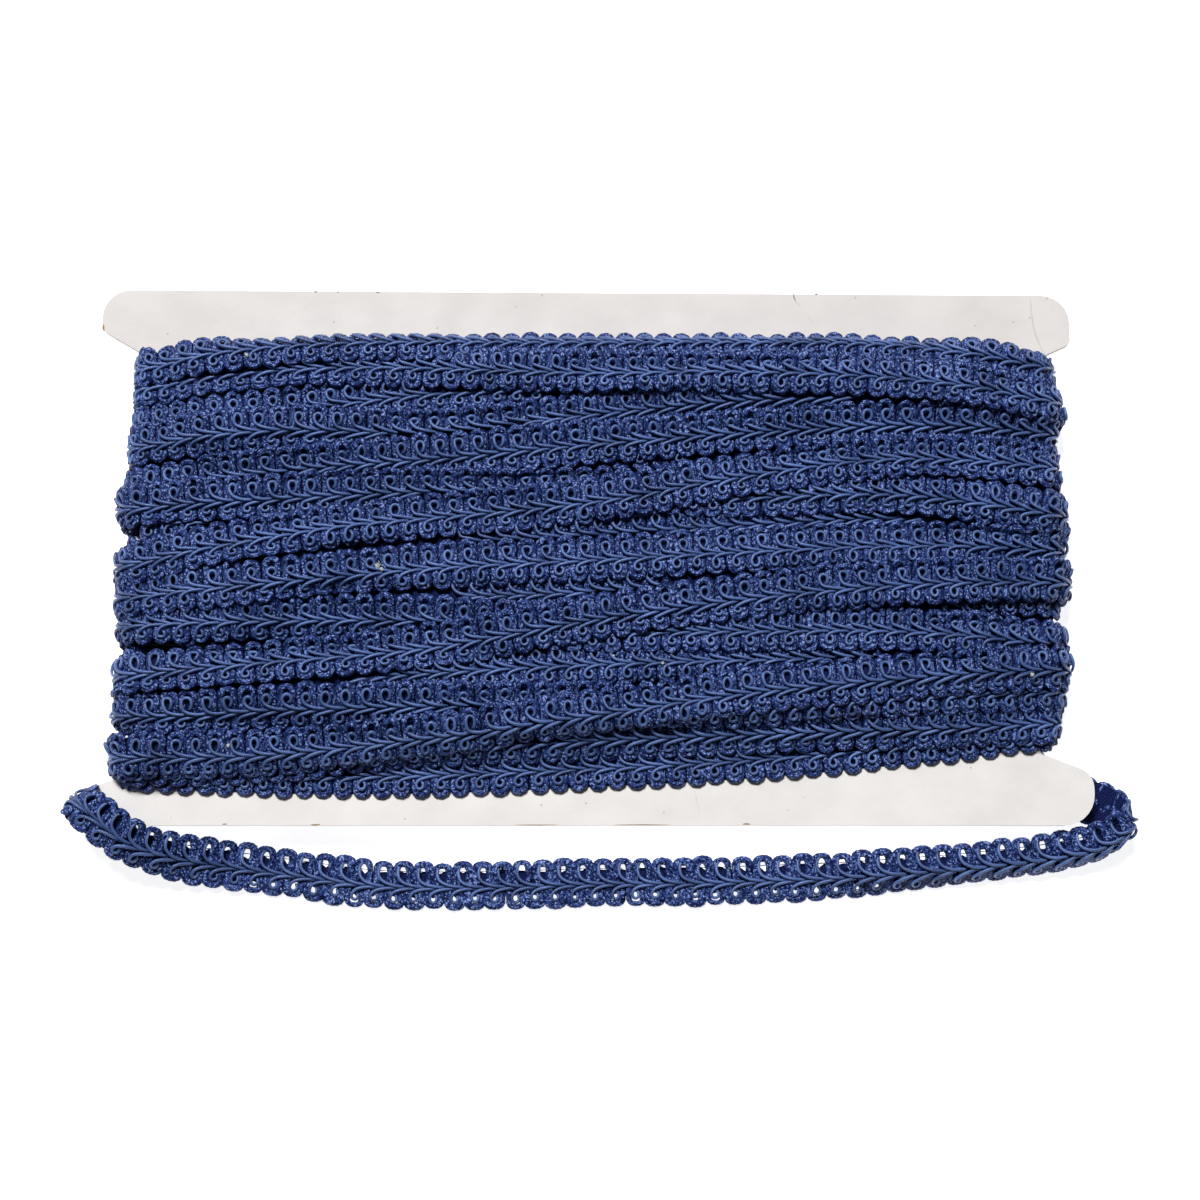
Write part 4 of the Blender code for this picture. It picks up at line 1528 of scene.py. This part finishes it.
@dataclass
class LooseTurn:
    """The last turn, slipped off the card: it folds round the lower left ear and lies free below the card."""

    braid: GimpBraid = field(
        default_factory=lambda: GimpBraid(
            pitch=4.85,
            upper_edge=6.5,
            lower_edge=5.45,
            crimped_half_width=1.0,
            crimped_half_height=0.58,
            swell=0.12,
            arch_half_width=1.68,
            arch_rise=1.4,
            arch_fullness=2.5,
            upper_curl=Curl(1.1, 1.9, 3.6, -5.0, (0.85, 0.1, -0.15, -0.3)),
            lower_curl=Curl(0.8, 0.9, 2.55, -80.0, (0.9, 0.6, 0.5, 0.2)),
            upper_thread=3.9,
            lower_thread=3.3,
            web_low=-2.1,
            web_high=3.65,
            web_depth=-0.52,
            web_columns=9,
        )
    )
    web_step: float = 1.2
    web_waver: float = 0.4  # how ragged the web's edges are
    closed_low: float = -4.6  # at and behind the folds the ground is closed right out to the scallops: a dark sheet for the braid's reverse, and painted shade over holes that lie in shadow there
    closed_high: float = 5.4
    upper_opens_at: float = 66.0  # how far along the strip its ground opens, past the left fold
    lower_opens_at: float = 100.0
    lower_shuts_at: float = 250.0
    upper_shuts_at: float = 303.0
    shut_over: float = 4.0
    step: float = 0.8
    profile_low: float = -6.0
    profile_rise: float = 1.0
    profile_points: int = 14
    crease_over: float = 1.5  # how far below the spine the crease is complete
    floor_clear: float = 0.55
    hidden_end: float = 6.0  # the strip's last stretch, which carries no cords
    pitch_spread: float = 0.08
    width: float = 12.2

    def _strip(self) -> Strip:
        """Bends the strip along its route.

        Returns:
            The strip, from its hidden start to its hidden end.
        """
        curve = smooth_curve(np.array(LOOSE_TURN), steps=24)
        length = np.linalg.norm(np.diff(curve[:, :3], axis=0), axis=1).sum()
        route = evenly(curve, round(length / self.step) + 1)
        middle = route[:, :3]
        forward = unit(np.gradient(middle, axis=0))
        across = unit(route[:, 3:6])
        above = unit(np.cross(forward, across))
        profile = self.profile_low + self.profile_rise * np.arange(self.profile_points)
        crease = np.radians(route[:, 6])[:, None] * np.clip(-profile / self.crease_over, 0, 1)
        level = profile[None, :, None] * np.cos(crease)[..., None]
        lift = profile[None, :, None] * np.sin(crease)[..., None]
        points = middle[:, None] + (across[:, None] * level + above[:, None] * lift)
        points[..., 2] = np.maximum(points[..., 2], self.floor_clear)
        return strip_from(points, length / (len(route) - 1), self.profile_low, self.profile_rise)

    def _add_web(self, stock: MeshStock, strip: Strip) -> float:
        """Lays the web: a narrow one where the strip lies open, and a closed ground at and behind the folds.

        Args:
            stock: the mesh stock that takes it.
            strip: the strip that it follows.

        Returns:
            The web's area in square metres.
        """
        rows = round(strip.length / self.web_step)
        place = np.linspace(0.0, strip.length, rows)
        open_low = np.maximum(self.lower_opens_at - place, place - self.lower_shuts_at)
        open_high = np.maximum(self.upper_opens_at - place, place - self.upper_shuts_at)
        lower_shut = np.clip(open_low / self.shut_over, 0, 1)
        upper_shut = np.clip(open_high / self.shut_over, 0, 1)
        rng = np.random.default_rng(SEED)
        low = self.braid.web_low + rng.normal(0.0, self.web_waver, rows)
        high = self.braid.web_high + rng.normal(0.0, self.web_waver, rows)
        low = low + (self.closed_low - low) * lower_shut
        high = high + (self.closed_high - high) * upper_shut
        share = np.linspace(0.0, 1.0, self.braid.web_columns)
        across = low[:, None] + (high - low)[:, None] * share
        ahead = place[:, None].repeat(len(share), axis=1)
        depth = np.full(across.shape, self.braid.web_depth)
        spots = strip.place(np.stack([ahead, across, depth], axis=2))[0]
        stock.add_sheet(spots, np.stack([across, ahead], axis=2), Yarn.WEB)
        return float((high - low).mean() * strip.length * MM**2)

    def build(self, materials: list[bpy.types.Material]) -> list[bpy.types.Object]:
        """Works the braid along the strip.

        Args:
            materials: the finish for each yarn.

        Returns:
            The pieces, the woven web first.
        """
        strip = self._strip()
        rng = np.random.default_rng(SEED)
        cords = MeshStock("loose_turn_cords")
        for half in Half:
            first = self.braid.pitch + self.braid.lag(half)
            places = np.arange(first, strip.length - self.hidden_end, self.braid.pitch)
            places = places + rng.normal(0.0, self.pitch_spread, len(places))
            self.braid.work(cords, strip, half, Repeats(places, places), FINE, SEED)
        web = MeshStock("loose_turn_web")
        web_area = self._add_web(web, strip)
        cords_piece = cords.make(materials, "trim")
        web_piece = web.make(materials, "trim")
        for piece in (cords_piece, web_piece):
            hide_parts("loose_turn")
        log.info("loose turn: %.0f mm long", strip.length)
        return [web_piece, cords_piece]


# --- the card, the light and the camera ---------------------------------------------------------


@dataclass
class Card:
    """The die-cut card, which keeps its shape from the frame."""

    finish: LinedBoard = field(default_factory=LinedBoard)

    def build(self) -> bpy.types.Object:
        """Dresses the card.

        Returns:
            The card.
        """
        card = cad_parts["card"]
        card.data.materials[0] = self.finish.dress()
        return card


class MarkKind(Enum):
    """What a mark on the card is."""

    CRACK = 0
    CREASE = 1
    STAIN = 2


class Mark(NamedTuple):
    """A mark on the card: the line it follows, its width at its widest, and what it is."""

    line: tuple[tuple[float, float], ...]
    width: float
    mark_kind: MarkKind


MARKS = (
    Mark(((50.6, 66.0), (50.7, 64.9), (51.1, 63.8)), 0.32, MarkKind.CRACK),
    Mark(((51.0, 63.9), (51.7, 63.3), (52.0, 62.4)), 0.22, MarkKind.CREASE),
    Mark(((54.1, 60.4), (54.4, 59.5), (55.6, 58.2)), 0.24, MarkKind.CREASE),
    Mark(((109.4, 65.0), (109.6, 60.0), (110.4, 55.4), (111.7, 52.0), (113.0, 49.8)), 0.45, MarkKind.CREASE),
    Mark(((25.2, -57.0), (25.7, -60.0), (26.4, -63.0)), 0.12, MarkKind.CREASE),
    Mark(((-68.6, 66.4), (-67.8, 66.3)), 0.4, MarkKind.STAIN),
    Mark(((-63.0, 66.3), (-62.4, 66.3)), 0.35, MarkKind.STAIN),
    Mark(((-53.2, 66.2), (-52.2, 66.2)), 0.35, MarkKind.STAIN),
    Mark(((55.8, 65.8), (56.6, 65.7)), 0.4, MarkKind.STAIN),
    Mark(((-120.6, 58.0), (-120.7, 57.0), (-120.4, 56.2)), 0.6, MarkKind.STAIN),
    Mark(((-88.2, -65.2), (-87.0, -65.1)), 0.3, MarkKind.STAIN),
    Mark(((-67.0, -65.3), (-65.8, -65.3), (-64.6, -65.2)), 0.35, MarkKind.STAIN),
    Mark(((-18.0, -65.3), (-12.5, -65.35), (-7.5, -65.3)), 0.18, MarkKind.STAIN),
    Mark(((5.5, -65.35), (12.5, -65.3), (19.5, -65.35)), 0.2, MarkKind.STAIN),
    Mark(((36.5, -65.2), (37.5, -65.1), (38.5, -65.2)), 0.35, MarkKind.STAIN),
)


@dataclass
class CardMarks:
    """The card's wear: a short tear by its upper edge, brown specks, and creases there and on an ear, each
    drawn as painted shade along its bend.
    """

    lift: float = 0.02  # how far above the card they lie
    rows: int = 9
    point_width: float = 0.12  # a mark's width at its tips, as a share of its widest

    def build(self) -> bpy.types.Object:
        """Lays a thin tapering sliver along each mark.

        Returns:
            The marks, as one piece.
        """
        stock = MeshStock("card_marks")
        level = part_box("card")[1][2] / MM + self.lift
        for mark in MARKS:
            line = evenly(smooth_curve(np.array(mark.line), steps=8), self.rows)
            forward = unit(np.gradient(line, axis=0))
            aside = np.stack([-forward[:, 1], forward[:, 0]], axis=1)
            bulge = np.sin(np.linspace(0.0, math.pi, self.rows)) ** 0.7
            taper = self.point_width + (1 - self.point_width) * bulge
            half = (mark.width / 2 * taper)[:, None] * aside
            grid = np.stack([line - half, line + half], axis=1)
            grid = np.concatenate([grid, np.full((self.rows, 2, 1), level)], axis=2)
            stock.add_sheet(grid, grid[..., :2], mark.mark_kind)
        finishes = [
            PlainMatt(name="torn_board", colour="9C968F", worn="8C857E", patch_mm=2.0).dress(),
            # Each crease is drawn as a darker sliver along its bend: painted shade.
            PlainMatt(name="creased_board", colour="DCD6D2", worn="D2CCC7", patch_mm=3.0).dress(),
            PlainMatt(name="glue_stain", colour="B59A7C", worn="8F7355").dress(),
        ]
        return stock.make(finishes, "card")


class Tuft(NamedTuple):
    """A tuft of lint: where it clings, along and across the card, and how far it spreads."""

    x: float
    y: float
    spread: float


TUFTS = (
    Tuft(-50.8, -3.8, 0.55),
    Tuft(-49.9, -4.8, 0.4),
    Tuft(-86.0, -46.7, 0.4),
    Tuft(105.2, -30.0, 0.35),
    Tuft(17.4, -27.2, 0.3),
    Tuft(5.5, -25.5, 0.3),
    Tuft(-83.7, 48.3, 0.35),
)


class Fluff(Enum):
    """What lint is made of."""

    COTTON = 0


@dataclass
class Lint:
    """Tufts of white cotton lint that cling to the wound trim."""

    fibres: int = 9
    bends: int = 4
    points: int = 6
    sides: int = 4
    radius: float = 0.09
    float_height: float = 0.3  # how far above the trim a tuft's middle is
    spread_share: float = 0.6
    flatness: float = 0.4

    def build(self, trim: WoundTrim) -> bpy.types.Object:
        """Tangles a few short fibres for each tuft.

        Args:
            trim: the wound trim, which the tufts lie on.

        Returns:
            The tufts, as one piece.
        """
        rng = np.random.default_rng(SEED)
        stock = MeshStock("lint")
        for tuft in TUFTS:
            run, height = np.array([trim.neck.half_length + tuft.x]), np.array([tuft.y])
            middle = trim.neck.roll_up(run, height, trim.ground_at(run, height) + self.float_height)
            ends = rng.normal(0.0, tuft.spread * self.spread_share, (self.fibres, self.bends, 3))
            ends = ends * [1.0, 1.0, self.flatness]
            lines = np.stack([evenly(smooth_curve(end, steps=6), self.points) for end in ends]) + middle
            above = np.broadcast_to([0.0, 0.0, 1.0], lines.shape)
            radii = np.full((self.points, 2), self.radius)
            stock.add_cords(lines, above, radii, self.sides, Fluff.COTTON)
        return stock.make([PlainMatt(name="cotton_lint", colour="D8DCD2", worn="C6CCC2").dress()], "trim")


@dataclass
class Studio:
    """A glowing white floor, faint light from all round, a broad lamp overhead, and the camera. In metres."""

    floor_size: float = 30.0
    distance: float = 0.55  # from the camera to the top of the card
    lean_deg: float = 8.8
    lens_mm: float = 67.6
    shift_right: float = 0.0083
    shift_up: float = -0.0371
    sky: float = 0.05
    key_place: tuple[float, float, float] = (-0.45, 1.35, 2.1)
    key_size: float = 0.8
    key_watts: float = 73.0
    floor_glow: float = 0.85

    def _hang_key(self) -> None:
        """Hangs the key, a square soft lamp that faces the roll."""
        data = bpy.data.lights.new("key", "AREA")
        data.shape = "SQUARE"
        data.size = self.key_size
        data.energy = self.key_watts
        lamp = bpy.data.objects.new("key", data)
        lamp.location = self.key_place
        lamp.rotation_mode = "QUATERNION"
        lamp.rotation_quaternion = (-Vector(self.key_place)).to_track_quat("-Z", "Y")
        bpy.context.scene.collection.objects.link(lamp)

    def build(self) -> None:
        """Sets the floor, light and camera."""
        scene = bpy.context.scene
        mesh = bpy.data.meshes.new("floor")
        half = self.floor_size / 2
        corners = [(-half, -half, 0), (half, -half, 0), (half, half, 0), (-half, half, 0)]
        mesh.from_pydata(corners, [], [(0, 1, 2, 3)])
        paint = PlainMatt(name="matt_white_paint", colour="FFFFFF", worn="FBFBFB", patch_mm=900.0).dress()
        shader = paint.node_tree.nodes["Principled BSDF"]
        shader.inputs["Emission Color"].default_value = (1.0, 1.0, 1.0, 1.0)
        shader.inputs["Emission Strength"].default_value = self.floor_glow
        mesh.materials.append(paint)
        floor = bpy.data.objects.new("floor", mesh)
        scene.collection.objects.link(floor)
        world = bpy.data.worlds.new("studio")
        world.use_nodes = True
        backdrop = world.node_tree.nodes["Background"]
        backdrop.inputs["Color"].default_value = (1.0, 1.0, 1.0, 1.0)
        backdrop.inputs["Strength"].default_value = self.sky
        scene.world = world
        self._hang_key()
        scene.view_settings.view_transform = "Standard"
        card_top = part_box("card")[1][2]
        lean = math.radians(self.lean_deg)
        camera = bpy.data.objects.new("camera", bpy.data.cameras.new("camera"))
        camera.data.lens = self.lens_mm
        camera.data.sensor_width = 36.0
        camera.location = (0.0, -self.distance * math.sin(lean), card_top + self.distance * math.cos(lean))
        camera.rotation_euler = (lean, 0.0, 0.0)
        camera.data.shift_x = self.shift_right
        camera.data.shift_y = self.shift_up
        scene.collection.objects.link(camera)
        scene.camera = camera


def main() -> None:
    """Builds the card, the wound trim, the loose turn and the studio, in that order."""
    logging.basicConfig(level=logging.INFO, format="%(message)s")
    Studio().build()
    Card().build()
    log.info("card: dressed")
    yarns = [SmoothCord().dress(), CrimpedCord().dress(), WovenWeb().dress()]
    trim = WoundTrim()
    for piece in [*trim.build(yarns), *LooseTurn().build(yarns), CardMarks().build(), Lint().build(trim)]:
        log.info("%s: in place", piece.name)


if __name__ == "__main__":
    main()
